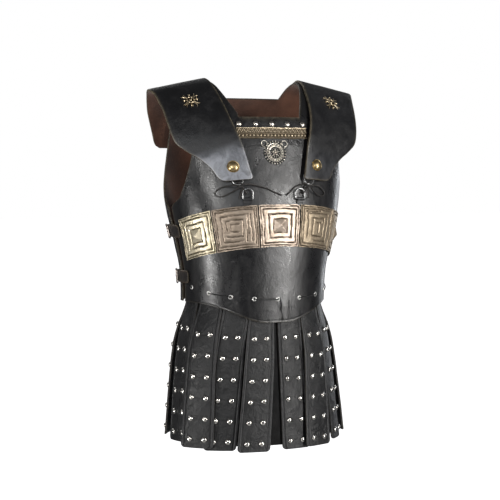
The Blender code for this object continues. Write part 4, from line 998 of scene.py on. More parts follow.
breastplate = bodyPlate("breastplateLeather", True, plates["neckDrop"], (24, 60), (44, 28, 8, 54, 30),
                        "breastplate")
punched(breastplate, eyeletCutter())
bodyPlate("backplateLeather", False, plates["backNeckDrop"], (10, 44), (28, 18, 5, 40, 12), "backplate")
grommets()
waistLace()
print("plates, grommets and lace made")


# shoulder guards

# the last entry sets, per guard, how much of the tongue's foot is rubbed glossy and lightened as a painted
# sheen highlight
guard = {"top": 0.0110, "tongueDrop": 0.215, "ridgeX": 0.107, "width": 0.123, "taper": 0.50,
         "innerCorner": 0.0055, "outerCorner": 0.0150, "backCorner": 0.010, "slant": 0.0045,
         "rowLength": 0.0130, "backRowLength": 0.020, "wave": 0.0004, "edgeFall": (0.0006, 0.0020),
         "line": 0.0052, "lineDepth": 0.00030,
         "polishAndSheen": {"right": 1.0, "left": 0.1}}
# drop, reach, inner and outer edge, from the ridge to the tongue's end and down the back
guardFront = (
    (0.000, 0.000, 0.000, 1.000), (0.024, 0.158, -0.010, 0.985), (0.070, 0.281, -0.025, 0.955),
    (0.149, 0.410, -0.050, 0.930), (0.260, 0.578, -0.080, 0.900), (0.400, 0.724, -0.130, 0.870),
    (0.540, 0.818, -0.200, 0.830), (0.650, 0.862, -0.265, 0.760), (0.730, 0.885, -0.300, 0.600),
    (0.790, 0.908, -0.325, 0.430), (0.870, 0.934, -0.355, 0.270), (0.940, 0.958, -0.385, 0.190),
    (1.000, 0.980, -0.400, 0.160),
)
guardBack = (
    (0.000, 0.000, 0.000, 1.000), (0.024, 0.204, 0.000, 0.985), (0.070, 0.361, -0.010, 0.955),
    (0.149, 0.519, -0.020, 0.920), (0.260, 0.694, -0.040, 0.870), (0.380, 0.824, -0.070, 0.800),
    (0.520, 0.926, -0.100, 0.720), (0.680, 1.000, -0.120, 0.640),
)
guardRows, guardBackRows = len(guardFront) - 1, len(guardBack) - 1


def guardColumn(column, backShare=1.0):
    return [row[column] * backShare for row in guardBack[:0:-1]] + [row[column] for row in guardFront]


guardDrops = guardColumn(0)
guardReaches = guardColumn(1, -torso["back"] / torso["front"])
guardInner, guardOuter = guardColumn(2), guardColumn(3)


def guardAt(x, row):
    index = row + guardBackRows
    drop = guard["tongueDrop"] * through(guardDrops, index)
    beyond = x / torso["halfBreadth"] - 0.42
    narrow = guard["taper"] * (beyond + math.sqrt(beyond**2 + 0.012)) / 2
    reach = torso["front"] * through(guardReaches, index) * (1.058 - narrow)
    fall = torso["slope"] * max(0.0, x - torso["neckRootX"]) * max(0.0, 1 - drop / torso["slopeFade"])
    return Vector((x, torso["ridgeY"] - reach, guard["top"] - drop - fall))


def guardPoint(side, x, row, lift):
    core = Vector((x - 0.02, torso["ridgeY"], -0.12))

    def surface(u, v):
        return guardAt(u, min(max(v, -guardBackRows), guardRows))

    point = lifted(surface, x, row, lift, "guard", core)
    point.x *= side
    return point


def guardEdges(row):
    index = row + guardBackRows
    inner = guard["ridgeX"] + guard["width"] * through(guardInner, index)
    outer = guard["ridgeX"] + guard["width"] * through(guardOuter, index)
    return inner, outer


def cornerCut(distance, radius):
    if distance >= radius:
        return 0.0
    return radius - math.sqrt(max(0.0, radius**2 - (radius - distance) ** 2))


def shoulderGuard(name, side):
    columns = 46
    fromEnd = (0, 0.0002, 0.0008, 0.0018, 0.0032, 0.0050, 0.0072, 0.0100, 0.0135)
    rowLength = guard["rowLength"]
    rows = spread(-guardBackRows, guardRows - 0.0160 / rowLength, 112)
    rows += [guardRows - distance / rowLength for distance in reversed(fromEnd)]

    def place(i, j, outerFace):
        row = rows[j]
        inner, outer = guardEdges(row)
        left = (guardRows - row) * rowLength
        share = i / columns
        inner += cornerCut(left, guard["innerCorner"])
        outer -= cornerCut(left, guard["outerCorner"])
        backCut = cornerCut((row + guardBackRows) * guard["backRowLength"], guard["backCorner"])
        inner += backCut
        outer -= backCut
        x = mix(inner, outer, share)
        slant = guard["slant"] * smoothStep(row, guardRows - 1.6, guardRows) * (1 - share) / rowLength
        point = guardPoint(side, x, row - slant, 0.0)
        if outerFace:
            toEdge = min(x - inner, outer - x)
            fall, width = guard["edgeFall"]
            wave = guard["wave"] * noise.noise(point * 21) - fall * bell(toEdge, width)
            wave -= guard["lineDepth"] * bell(toEdge - guard["line"], 0.0010)
            return guardPoint(side, x, row - slant, wave)
        return guardPoint(side, x, row - slant, -leatherOf["guard"])

    def wear(i, j):
        inner, outer = guardEdges(rows[j])
        toEdge = min(i, columns - i) / columns * (outer - inner)
        fromFoot = (guardRows - rows[j]) * rowLength
        return min(1.0, math.exp(-toEdge / 0.0013) + math.exp(-fromFoot / 0.0013))

    def polishAndSheen(i, j):  # rubbed foot of the tongue, glossier and carrying a painted sheen highlight, more so along its inner edge
        return guard["polishAndSheen"][name] * smoothStep(rows[j] - 1.8 * i / columns, 6.4, 8.2)

    materials = [leathers["blackGuardLeather"], paleEdge, brownSuede]
    obj = sheetPiece(f"shoulderGuard_{name}", place, columns, len(rows) - 1, materials, None,
                     {"wear": wear, "polishAndSheen": polishAndSheen}, 0.0010)
    dress(obj, "guard_leather", f"shoulder_guard_{name}")


def guardPatch(side, x, row, lift):
    step = (guardPoint(1, x, row + 0.2, 0.0) - guardPoint(1, x, row - 0.2, 0.0)).length / 0.4
    return lambda dx, dy, dz: guardPoint(side, x + side * dx, row - dy / step, lift + dz)


star = {"radius": 0.0195, "x": 0.159, "row": 3.5, "ringX": 0.0066, "ringY": 0.0074, "points": 32,
        "tips": (0.66, 0.86), "notch": 0.44, "armFrom": 0.0062}
# share of the outline, height and relief
starSteps = ((1, 0, 0.1), (1, 0.0009, 0.25), (0.6, 0.0015, 0.05))


def guardStar(name, side):
    place = guardPatch(side, star["x"], star["row"], 0.0003)
    bm = bmesh.new()
    relief = bm.verts.layers.float.new("relief")
    outline = []
    for k in range(star["points"]):
        point = (k % 4) / 4
        reach = star["radius"] * mix(star["tips"][k // 4 % 2], star["notch"], min(point, 1 - point) * 2)
        outline.append(polar(reach, 2 * math.pi * k / star["points"]))
    rings = []
    for share, z, value in starSteps:
        rings.append([bm.verts.new(place(x * share, y * share, z)) for x, y in outline])
        paint(rings[-1:], relief, value)
    for a, b in zip(rings, rings[1:]):
        bridge(bm, a, b)
    bm.faces.new(rings[0])
    bm.faces.new(rings[-1])
    oval = [place(star["ringX"] * math.cos(a), star["ringY"] * math.sin(a), 0.0024)
            for a in spread(0, 2 * math.pi, 28)[:-1]]
    wire(bm, oval, 0.0013, 8, True, relief)
    turned(bm, domeProfile(0.0031, 0.0034), 16, place, 0, relief)
    for k in range(4):  # long split arms on the diagonals
        turn = math.radians(45 + 90 * k)
        for bend in (-1, 1):
            arm = []
            for share in spread(0.0, 1.0, 7):
                away = mix(star["armFrom"], star["radius"], share)
                swing = turn + bend * (0.06 + 0.15 * share**2.2)
                arm.append(place(*polar(away, swing), 0.0022 - 0.0011 * share))
            wire(bm, arm, 0.0015, 6, False, relief, lambda s: 1.1 - 0.5 * s)
        petal = [place(*polar(away, turn), 0.0016) for away in spread(0.006, 0.0125, 4)]
        wire(bm, petal, 0.0016, 6, False, relief, lambda s: 1.0 - 0.5 * s)
    for k in range(4):  # short arms with round tips
        turn = math.radians(90 * k)
        reach = 0.0142 if k % 2 else 0.0128
        arm = [place(*polar(away, turn), 0.0018) for away in spread(0.006, reach, 4)]
        wire(bm, arm, 0.0011, 6, False, relief)
        turned(bm, domeProfile(0.0024, 0.0036), 14, movedPatch(place, *polar(reach, turn)), 0, relief)
    dress(meshPiece(f"guardStar_{name}", bm, [metals["starSilver"]], 50), "star_silver", f"guard_star_{name}")


rivet = {"radius": 0.0122, "height": 0.0070, "spots": {"right": (0.096, 10.0), "left": (0.090, 9.8)}}


def guardRivet(name, side):
    place = guardPatch(side, *rivet["spots"][name], 0.0003)
    r, h = rivet["radius"], rivet["height"]
    profile = [(0, 0), (r, 0), (r, 0.0007), (r * 0.965, 0.0012), (r * 0.90, 0.0011), (r * 0.86, 0.0007)]
    for turn in spread(0.10, math.pi / 2, 9)[:-1]:
        profile.append((r * 0.85 * math.cos(turn), 0.0008 + (h - 0.0008) * math.sin(turn)))
    bm = bmesh.new()
    turned(bm, profile + [(0, h)], 40, place)
    dress(meshPiece(f"guardRivet_{name}", bm, [metals["brass"]], 50), "rivet_brass", f"guard_rivet_{name}")


sides = (("right", -1), ("left", 1))
for sideName, sideSign in sides:
    shoulderGuard(sideName, sideSign)
    guardStar(sideName, sideSign)
    guardRivet(sideName, sideSign)
print("guards made")


# neck studs, beaded trim and roundel

neckStud = {"count": 5, "pitch": 0.0355, "drop": 0.0900, "radius": 0.0060, "height": 0.0045}
trim = {"half": 0.0770, "top": 0.0975, "height": 0.0220, "beads": 20, "beadHeight": 0.0022}
# rows of beads: count, distance out, half width, half length and height
roundel = {"drop": 0.1480, "radius": 0.0245, "curl": 0.0062, "wire": 0.0010,
           "rows": ((20, 0.0156, 0.0021, 0.0027, 0.0044), (24, 0.0228, 0.0013, 0.0017, 0.0026),
                    (12, 0.0092, 0.0010, 0.0012, 0.0022)),
           "base": ((0, 0), (1, 0), (1, 0.0006), (0.96, 0.0010), (0.56, 0.0012), (0.50, 0.0007), (0, 0.0007)),
           "lines": ((0.0128, 0.0006), (0.0186, 0.0005))}


def neckStuds():
    for k in range(neckStud["count"]):
        x = neckStud["pitch"] * (k - (neckStud["count"] - 1) / 2)
        spot = torsoPatch(x, neckStud["drop"], leatherOf["plate"])
        place = flatPatch(spot(0, 0, 0.0003), spot(0, 0, 0.02) - spot(0, 0, 0))
        bm = bmesh.new()
        turned(bm, domeProfile(neckStud["radius"], neckStud["height"], 8, 0.0005), 32, place)
        dress(meshPiece(f"neckStud_{k + 1}", bm, [metals["neckNickel"]], 50), "stud_nickel",
              f"neck_stud_{k + 1}")


def trimRelief(x, share):  # share runs up from the lower edge; returns 0 to about 1.6
    border = max(bell(share - 0.035, 0.035), bell(share - 0.965, 0.035), 0.8 * bell(share - 0.50, 0.028))
    pitch = 2 * trim["half"] / trim["beads"]
    beadX = ((x / pitch) % 1.0 - 0.5) * pitch
    beadY = (share - 0.29) * trim["height"]
    bead = max(0.0, 1 - (beadX**2 + beadY**2) / 0.0023**2) ** 0.5 * 1.5
    zig = abs(((x / 0.0090) % 1.0) - 0.5) * 2
    line = bell((share - 0.58) - 0.32 * zig, 0.060) * smoothStep(share, 0.50, 0.56)
    leaf = bell((share - 0.90) + 0.30 * zig, 0.050) * smoothStep(share, 0.50, 0.56)
    slits = 0.5 * bell(share - 0.13, 0.05) * (0.5 + 0.5 * math.cos(2 * math.pi * x / 0.0024))
    return max(border, bead, 0.75 * line, 0.45 * leaf, slits)


def neckTrim():
    columns, rows = 300, 40

    def spot(i, j):
        return mix(-trim["half"], trim["half"], i / columns), j / rows

    def place(i, j, outerFace):
        x, share = spot(i, j)
        drop = trim["top"] + trim["height"] * (1 - share) + 0.0004 * noise.noise(Vector((x * 70, share, 3)))
        lift = leatherOf["plate"] + 0.0003
        if outerFace:
            lift += 0.0008 + trim["beadHeight"] * 0.62 * trimRelief(x, share)
        return torsoPoint(rowAt(drop), angleOf(x, drop), lift)

    def relief(i, j):
        return min(1.0, trimRelief(*spot(i, j)))

    obj = sheetPiece("neckTrimBraid", place, columns, rows, [metals["trimBronze"]], None,
                     {"relief": relief}, 0.0, 60)
    dress(obj, "trim_bronze", "neck_trim")


def chestRoundel():
    place = torsoPatch(0.0, roundel["drop"], leatherOf["plate"] + 0.0003)
    bm = bmesh.new()
    relief = bm.verts.layers.float.new("relief")
    r = roundel["radius"]
    turned(bm, [(r * share, z) for share, z in roundel["base"]], 72, place, 1, relief, 0.6)
    for count, away, width, length, height in roundel["rows"]:
        for k in range(count):  # rings of oval beads, each turned to point outwards
            turn = 2 * math.pi * (k + 0.5) / count
            oval = turnedPatch(movedPatch(place, *polar(away, turn)), *polar(1, turn), length / width)
            turned(bm, domeProfile(width, height, 4, 0.0009), 10, oval, 0, relief)
    for away, width in roundel["lines"]:
        line = [place(*polar(away, a), 0.0014) for a in spread(0, 2 * math.pi, 60)[:-1]]
        wire(bm, line, width, 6, True, relief)
    for k in range(6):  # middle cluster
        turn = 2 * math.pi * (k + 0.25) / 5
        bead = movedPatch(place, *polar(0.0050 if k < 5 else 0.0, turn))
        turned(bm, domeProfile(0.0023, 0.0042 if k < 5 else 0.0048, 5, 0.001), 14, bead, 0, relief)
    for side in (-1, 1):  # hooked wire curls at the top
        curl = []
        for share in spread(0.0, 1.0, 26):
            turn = math.radians(mix(-95, 235, share))
            away = roundel["curl"] * (1.0 - 0.22 * smoothStep(share, 0.72, 1.0))
            x, y = polar(away, turn)
            curl.append(place(side * (r * 0.90 + x), r * 0.72 + y, roundel["wire"] + 0.0002))
        wire(bm, curl, roundel["wire"], 10, False, relief)
    boss = meshPiece("chestRoundelBoss", bm, [metals["oldSilver"], metals["darkSetting"]], 50)
    dress(boss, "roundel_silver", "chest_roundel")


neckStuds()
neckTrim()
chestRoundel()
print("studs, trim and roundel made")


# belt plates

beltPlate = {"seat": 0.0008, "gapAngle": 0.45, "thick": 0.0016, "step": 0.0016, "cells": 84,
             "pyramidFoot": 0.9, "pyramidRise": 3.8, "soft": 0.022, "rim": 0.925,
             "metals": ("yellowBronze", "dullBronze", "pinkBronze", "brownBronze", "brownBronze")}
# stepped squares from the middle out: where each band ends and what it is
squareBands = (
    (0.315, "pyramid"), (0.350, "sunk"), (0.535, "raised"), (0.580, "sunk"), (0.780, "raised"),
    (0.825, "sunk"), (0.915, "raised"), (0.945, "sunk"), (1.01, "raised"),
)
# chased lines of the plates between them, across and up from -1 to 1
chasedLines = {
    2: ((-0.84, -0.84, 0.84, -0.86), (0.84, -0.86, 0.85, 0.83), (-0.84, 0.80, 0.85, 0.83),
        (-0.84, -0.84, -0.84, 0.80), (-0.62, -0.60, 0.56, -0.63), (-0.62, -0.60, -0.60, 0.60),
        (-0.60, 0.60, 0.30, 0.62), (0.56, -0.63, 0.54, 0.30), (-0.42, -0.37, 0.34, -0.41),
        (0.34, -0.41, 0.32, 0.42), (-0.40, 0.36, 0.32, 0.42), (-0.42, -0.37, -0.40, 0.06),
        (-0.22, 0.14, 0.12, 0.18), (-0.20, -0.17, 0.13, -0.20), (-0.21, -0.17, -0.22, 0.14),
        (0.68, -0.62, 0.69, 0.64), (0.47, 0.10, 0.48, 0.66)),
    4: ((-0.84, -0.84, 0.84, -0.84), (0.84, -0.84, 0.84, 0.84), (-0.84, 0.82, 0.84, 0.84),
        (-0.84, -0.84, -0.84, 0.82), (-0.62, -0.66, 0.58, -0.64), (-0.60, -0.66, -0.62, 0.50),
        (0.58, -0.64, 0.58, 0.66), (-0.20, 0.66, 0.58, 0.66), (-0.36, -0.42, 0.34, -0.44),
        (0.34, -0.44, 0.32, 0.44), (-0.34, 0.42, 0.32, 0.44), (-0.36, -0.42, -0.34, 0.42),
        (0.00, -0.20, 0.01, 0.24), (-0.14, -0.24, 0.16, -0.24), (-0.76, -0.74, 0.10, -0.75)),
}


def toSegment(u, v, line):
    du, dv = line[2] - line[0], line[3] - line[1]
    share = ((u - line[0]) * du + (v - line[1]) * dv) / (du * du + dv * dv)
    share = min(1.0, max(0.0, share))
    return math.hypot(u - line[0] - du * share, v - line[1] - dv * share)


def squareRelief(u, v):
    r = max(abs(u), abs(v))
    start, soft = 0.0, beltPlate["soft"]
    for end, kind in squareBands:
        if r > end:
            start = end
        elif kind == "pyramid":
            return beltPlate["pyramidFoot"] + beltPlate["pyramidRise"] * (1 - r / end)
        elif kind == "raised":
            flank = min(smoothStep(r, start, start + soft), 1 - smoothStep(r, end - soft, end))
            return mix(0.25, 1.0, 1 - 0.5 * r) * flank
        else:
            return 0.0
    return 0.5


def chasedRelief(u, v, lines):
    r, rim = max(abs(u), abs(v)), beltPlate["rim"]
    if r > rim:
        return 0.85 * smoothStep(r, rim + 0.030, rim + 0.045)
    near = min(toSegment(u, v, line) for line in lines)
    return mix(0.15, 0.85, smoothStep(near, 0.012, 0.055)) * (1 - smoothStep(r, rim - 0.020, rim))


def beltPiece(number):
    edges = [-beltAngles[2], -beltAngles[1], -beltAngles[0]] + list(beltAngles)
    low, high = edges[number - 1], edges[number]
    cells = beltPlate["cells"]
    lines = chasedLines.get(number)
    random.seed(40 + number)
    shift = random.uniform(0, 9)

    def spot(i, j):
        return 2 * i / cells - 1, 2 * j / cells - 1

    def height(u, v):
        bend = noise.noise(Vector((u * 2.2 + shift, v * 2.2, number)))
        shake = noise.noise(Vector((u * 7, v * 7 + shift, number * 5)))
        bentU, bentV = u + 0.040 * bend + 0.018 * shake, v + 0.036 * bend - 0.018 * shake
        level = chasedRelief(bentU, bentV, lines) if lines else squareRelief(bentU, bentV)
        filled = 0.42 * smoothStep(noise.noise(Vector((u * 3.1, v * 3.1, shift + 4))), 0.0, 0.5)
        rough = 0.20 * noise.noise(Vector((u * 8 + shift, v * 8, number)))
        return max(level, min(filled, level + 0.35)) + rough

    def place(i, j, outerFace):
        u, v = spot(i, j)
        edge = max(abs(u), abs(v)) ** 8
        pull = 0.012 * edge * noise.noise(Vector((u * 6, v * 6 + shift, number * 3)))
        angle = mix(low + beltPlate["gapAngle"], high - beltPlate["gapAngle"], (u * (1 + pull) + 1) / 2)
        nominal = mix(low, high, (u + 1) / 2)
        drop = beltDrop(nominal, (v * (1 + pull) + 1) / 2)
        lift = leatherOf["plate"] + beltPlate["seat"]
        if outerFace:
            lift += beltPlate["thick"] + beltPlate["step"] * height(u, v)
        return torsoPoint(rowAt(drop), angle, lift)

    def relief(i, j):
        return min(1.0, max(0.0, 0.10 + 1.1 * height(*spot(i, j))))

    metal = metals[beltPlate["metals"][number - 1]]
    obj = sheetPiece(f"beltPlate_{number}", place, cells, cells, [metal], None, {"relief": relief}, 0.0, 70)
    dress(obj, "belt_bronze", f"belt_plate_{number}")


for plateNumber in range(1, 6):
    beltPiece(plateNumber)
print("belt plates made")


# rings, their tabs and the thongs tied through them

ring = {"half": 0.0120, "height": 0.0215, "wire": 0.0013, "chestTilt": 7.0, "guardTilt": 5.0, "rest": 0.0012}
tabSize = {"width": 0.0170, "length": 0.0130, "chestLength": 0.0100, "slack": 0.0003}


def tilted(place, degrees):
    c, s = math.cos(math.radians(degrees)), math.sin(math.radians(degrees))
    return lambda x, y, z: place(x, y * c, z + abs(y) * s)


def dRing(name, place, barUp, node):
    w, h = ring["half"] - ring["wire"], ring["height"] - ring["wire"]
    sign = 1 if barUp else -1
    outline = [(x, 0.0) for x in spread(-w * 0.84, w * 0.84, 8)]
    outline += [(w * 0.95, sign * w * 0.05), (w, sign * w * 0.16)]
    for turn in spread(0, math.pi, 28):
        outline.append((w * math.cos(turn), sign * (h - w * 0.82 + w * 0.82 * math.sin(turn))))
    outline += [(-w, sign * w * 0.16), (-w * 0.95, sign * w * 0.05)]
    bm = bmesh.new()
    wire(bm, [place(x, y, 0.0) for x, y in outline], ring["wire"], 12, True)
    dress(meshPiece(name, bm, [metals["darkNickel"]], 60), "ring_nickel", node)


def ringTab(name, place, length, towards, node):
    t = leatherOf["tab"]
    eye = ring["wire"] + tabSize["slack"] + t / 2
    path = [(length, -eye), (length * 0.6, -eye), (length * 0.3, -eye), (0.0, -eye)]
    for turn in spread(-90, 90, 12)[1:]:
        path.append((-math.cos(math.radians(turn)) * eye, math.sin(math.radians(turn)) * eye))
    path += [(eye * 0.9, eye), (eye * 1.35, eye * 0.4)]
    path += [(x, -eye + t + tabSize["slack"]) for x in (max(length * 0.5, eye * 1.9), length * 0.8, length)]
    columns = 8

    def placeTab(i, j, outerFace):
        here = Vector(path[j])
        a, b = Vector(path[max(j - 1, 0)]), Vector(path[min(j + 1, len(path) - 1)])
        along = (b - a).normalized()
        point = here + Vector((-along.y, along.x)) * (t / 2 if outerFace else -t / 2)
        return place((2 * i / columns - 1) * tabSize["width"] / 2, towards * point.x, point.y)

    materials = [leathers["blackGuardLeather"], darkEdge]
    obj = sheetPiece(name, placeTab, columns, len(path) - 1, materials, None, None, 0.0002, 50)
    dress(obj, "strap_leather", node)
    bm = bmesh.new()
    top, along = -eye + 1.5 * t + 0.0004, towards * length * 0.86
    across = spread(-tabSize["width"] * 0.38, tabSize["width"] * 0.38, 5)
    for a, b in zip(across, across[1:]):
        thread(bm, place(mix(a, b, 0.12), along, top), place(mix(a, b, 0.88), along, top), 0.0003)
    dress(meshPiece(name + "Stitches", bm, [leathers["blackLace"]], 50), "strap_leather")


def tiedRings():
    bar = leatherOf["tab"] + tabSize["slack"] + ring["wire"]
    for name, side, ringX, guardX, tail, length in tieSides:
        drop = ties["ringDrop"]
        angle = side * angleOf(ringX, drop)
        base, off = (torsoPoint(rowAt(drop), angle, lift) for lift in (leatherOf["plate"], 0.014))
        outward = (off - base).normalized()
        chest = flatPatch(base + outward * (bar + 0.0006), outward)
        dRing(f"chestRing_{name}", tilted(chest, ring["chestTilt"]), True, f"chest_ring_{name}")
        ringTab(f"chestRingTab_{name}", chest, tabSize["chestLength"], -1, f"chest_ring_tab_{name}")
        under, off = (guardPoint(side, guardX, ties["guardRow"], z) for z in (-leatherOf["guard"], 0.01))
        outward = (off - under).normalized()
        hang = flatPatch(under - outward * (bar + ring["rest"]), -outward)
        dRing(f"guardRing_{name}", tilted(hang, -ring["guardTilt"]), False, f"guard_ring_{name}")
        ringTab(f"guardRingTab_{name}", hang, tabSize["length"], 1, f"guard_ring_tab_{name}")
        tieThong(name, side, ringX, under.z, guardX, tail, length)


tiedRings()
print("rings and thongs made")


# skirt

skirt = {"halfBreadth": 0.178, "front": 0.119, "back": 0.101, "squareness": 2.15, "top": 0.429,
         "length": 0.325, "sideRise": 0.021, "strips": 16, "frontShare": 0.56, "band": 0.048}
strip = {"tuck": 0.012, "topShare": 0.950, "bottomShare": 1.000, "step": 0.0082, "corner": 0.0080,
         "hangTop": 0.0012, "hangFoot": 0.0020, "border": 0.0062, "rows": 6, "pitch": 0.0424,
         "endMargin": 0.0175, "spread": 0.275, "studRadius": 0.0060, "studHeight": 0.0044,
         "stitch": 0.0042, "stitchRadius": 0.00034, "creaseRows": (-0.0024, -0.0012, 0.0, 0.0012, 0.0024),
         "footRows": (0, 0.0002, 0.0007, 0.0015, 0.0026, 0.0040, 0.0056, 0.0080), "roll": 0.0008,
         "rollWidth": 0.0022, "seamDepth": 0.0009, "seamWidth": 0.0008, "edgeFall": 0.0005,
         "edgeWidth": 0.0009, "ripple": (0.0003, 0.0007), "crease": 0.00045, "creaseWidth": 0.0014,
         "inset": (0, 0.0010, 0.0020, 0.0032, 0.0044, 0.0052, 0.0058, 0.0062, 0.0066, 0.0074, 0.0090)}
# drop, breadth, front and back, as shares of the skirt's length, half breadth, front and back
skirtSections = (
    (0.000, 0.781, 0.948, 0.855),
    (0.075, 0.773, 0.934, 0.845),
    (0.150, 0.804, 0.920, 0.865),
    (0.240, 0.850, 0.920, 0.905),
    (0.400, 0.902, 0.938, 0.950),
    (0.640, 0.948, 0.970, 0.975),
    (1.000, 1.000, 1.000, 1.000),
)
# shift and further swing of each foot in strip widths, and how far it stands out, in sideRise
stripHang = (
    (0.05, 0.13, 0.00), (0.05, -0.10, 0.05), (0.10, 0.05, 0.30), (0.10, 0.02, 0.45),
    (0.08, -0.02, 0.45), (0.06, 0.02, 0.25), (0.04, 0.00, 0.10), (0.01, 0.00, 0.00),
    (-0.01, 0.00, 0.00), (-0.03, 0.00, 0.00), (-0.05, -0.02, 0.00), (-0.07, 0.02, 0.00),
    (-0.09, 0.31, 0.00), (0.00, 0.00, 0.00), (0.00, -0.33, 0.00), (-0.03, -0.28, 0.05),
)
skirtBreadth, skirtFront, skirtBack = (edgeCurve(skirtSections, k) for k in (1, 2, 3))
skirtRings = {}
quarter = skirt["strips"] / 4


def skirtRing(drop):
    key = round(drop * 1e5)
    if key not in skirtRings:
        share = (drop - skirt["top"]) / skirt["length"]
        breadth = skirt["halfBreadth"] * skirtBreadth(share)
        front, back = skirt["front"] * skirtFront(share), skirt["back"] * skirtBack(share)
        points, lengths, power = [], [0.0], 2 / skirt["squareness"]
        for turn in spread(0, math.pi, 90):
            c = math.cos(turn)
            x = breadth * abs(math.sin(turn)) ** power
            depth = front if turn < math.pi / 2 else back
            points.append(Vector((x, -depth * math.copysign(abs(c) ** power, c))))
        for a, b in zip(points, points[1:]):
            lengths.append(lengths[-1] + (b - a).length)
        skirtRings[key] = (points, lengths)
    return skirtRings[key]


def nearFront(place):  # the same place, counted the short way round
    return (place + 2 * quarter) % skirt["strips"] - 2 * quarter


def stripWidth(drop, place):
    share = skirt["frontShare"] if abs(nearFront(place)) < quarter else 1 - skirt["frontShare"]
    return skirtRing(drop)[1][-1] * share / quarter


def skirtPoint(drop, place, lift=0.0):  # place counts strips from the front centre
    points, lengths = skirtRing(drop)
    place = nearFront(place)
    front = min(abs(place), quarter) * skirt["frontShare"] / quarter
    back = max(abs(place) - quarter, 0.0) * (1 - skirt["frontShare"]) / quarter
    walked = min((front + back) * lengths[-1], lengths[-1] - 1e-9)
    low, high = 0, len(points) - 1
    while high - low > 1:
        middle = (low + high) // 2
        if lengths[middle] <= walked:
            low = middle
        else:
            high = middle
    share = (walked - lengths[low]) / (lengths[low + 1] - lengths[low])

    def tangent(i):
        if i == 0:
            return Vector((1, 0))
        if i == len(points) - 1:
            return Vector((-1, 0))
        return (points[i + 1] - points[i - 1]).normalized()

    flat = points[low].lerp(points[low + 1], share)
    along = tangent(low).lerp(tangent(low + 1), share).normalized()
    flat = flat + Vector((along.y, -along.x)) * lift
    return Vector((math.copysign(flat.x, place) if place else flat.x, flat.y, -drop))


def sideRise(place):
    away = min(abs(place), skirt["strips"] - abs(place)) / quarter
    return skirt["sideRise"] * min(1.0, away**2)


def borderHeight(distance):  # rolled edge of a strip with the seam line beside it
    border = strip["border"]
    rolled = strip["roll"] * (1 - smoothStep(distance, border - strip["rollWidth"], border))
    seam = strip["seamDepth"] * bell(distance - border, strip["seamWidth"])
    return rolled - seam - strip["edgeFall"] * bell(distance, strip["edgeWidth"])


def skirtStrip(number):
    first = number - 0.5
    shift, swing, stand = stripHang[number - 1]
    outerLayer = number % 2 == 0
    foot = skirt["top"] + skirt["length"] - sideRise(first)
    middle = skirtPoint(plates["hemSide"], first + shift)
    top = hemDrop(angleOf(middle.x, plates["hemSide"]), middle.y < 0) - strip["tuck"]
    studDrops = [foot - strip["endMargin"] - strip["pitch"] * k for k in range(strip["rows"])]
    rows = [d for d in spread(top, foot - 0.0105, 80) if min(abs(d - stud) for stud in studDrops) > 0.0030]
    rows += [stud + away for stud in studDrops for away in strip["creaseRows"]]
    rows = sorted(rows) + [foot - end for end in reversed(strip["footRows"])]
    widest = stripWidth(foot, first) / 2
    us = [-1 + distance / widest for distance in strip["inset"]]
    us += spread(us[-1], -us[-1], 12)[1:-1] + [-u for u in reversed(us)]

    def at(u, drop, lift):
        share = (drop - top) / (foot - top)
        over = strip["step"] * smoothStep(share, 0.0, 0.35) if outerLayer else 0.0
        base = leatherOf["under"] + mix(strip["hangTop"], strip["hangFoot"], share) + over
        base += skirt["sideRise"] * stand * max(0.0, share) ** 1.5
        reach = u * mix(strip["topShare"], strip["bottomShare"], share) / 2
        return skirtPoint(drop, first + shift + swing * max(0.0, share) + reach, base + lift)

    def place(i, j, outerFace):
        drop, u = rows[j], us[i]
        narrowed = u * (1 - cornerCut(foot - drop, strip["corner"]) / widest)
        share = (drop - top) / (foot - top)
        ripple = strip["ripple"][outerLayer] * share
        ripple *= noise.noise(Vector((number * 7.3, u * 0.8, drop * 16)))
        if not outerFace:
            return at(narrowed, drop, ripple)
        sideways = (1 - abs(u)) * widest
        lift = leatherOf["skirt"] + ripple + borderHeight(sideways)
        lift += 0.00025 * noise.noise(Vector((number * 3.1 + u * 3, u, drop * 60)))
        bend = 0.0008 * math.sin(9 * u + number)
        pull = max(bell(drop - stud + bend, strip["creaseWidth"]) for stud in studDrops)
        lift -= strip["crease"] * pull * (1 - smoothStep(abs(u), 0.45, 0.70))
        return at(narrowed, drop, lift)

    def wear(i, j):
        edge = math.exp(-min(i, len(us) - 1 - i) / 1.2)
        seam = 0.45 * bell((1 - abs(us[i])) * widest - strip["border"] + 0.0016, 0.0012)
        return min(1.0, 0.9 * edge + seam + math.exp(-(len(rows) - 1 - j) / 2.0))

    name = f"skirtStrip_{number:02d}"
    materials = [leathers["blackStripLeather"], darkEdge]
    obj = sheetPiece(name, place, len(us) - 1, len(rows) - 1, materials, None, {"wear": wear}, 0.0006)
    dress(obj, "skirt_leather", f"skirt_strip_{number:02d}")
    stripStuds(name, at, studDrops, number)
    stripSeams(name, at, top + 0.004, foot - 0.003, widest)


def stripStuds(name, at, studDrops, number):
    bm = bmesh.new()
    random.seed(700 + number)
    for drop in studDrops:
        for side in (-1, 1):
            u = side * (1 - 2 * strip["spread"]) + random.uniform(-0.012, 0.012)
            d = drop + random.uniform(-0.0007, 0.0007)
            base = at(u, d, leatherOf["skirt"] + 0.0001)
            place = flatPatch(base, at(u, d, leatherOf["skirt"] + 0.01) - base)
            turned(bm, domeProfile(strip["studRadius"], strip["studHeight"], 7, 0.0004), 24, place)
    dress(meshPiece(name + "Studs", bm, [metals["nickel"]], 50), "stud_nickel")


def stripSeams(name, at, top, foot, widest):
    bm = bmesh.new()
    drops = spread(top, foot, round((foot - top) / strip["stitch"]))
    lift = leatherOf["skirt"] - 0.00025
    for side in (-1, 1):
        u = side * (1 - (strip["border"] - 0.0002) / widest)
        for a, b in zip(drops, drops[1:]):
            thread(bm, at(u, mix(a, b, 0.14), lift), at(u, mix(a, b, 0.86), lift), strip["stitchRadius"])
    dress(meshPiece(name + "Seams", bm, [leathers["blackLace"]], 50), "skirt_leather")


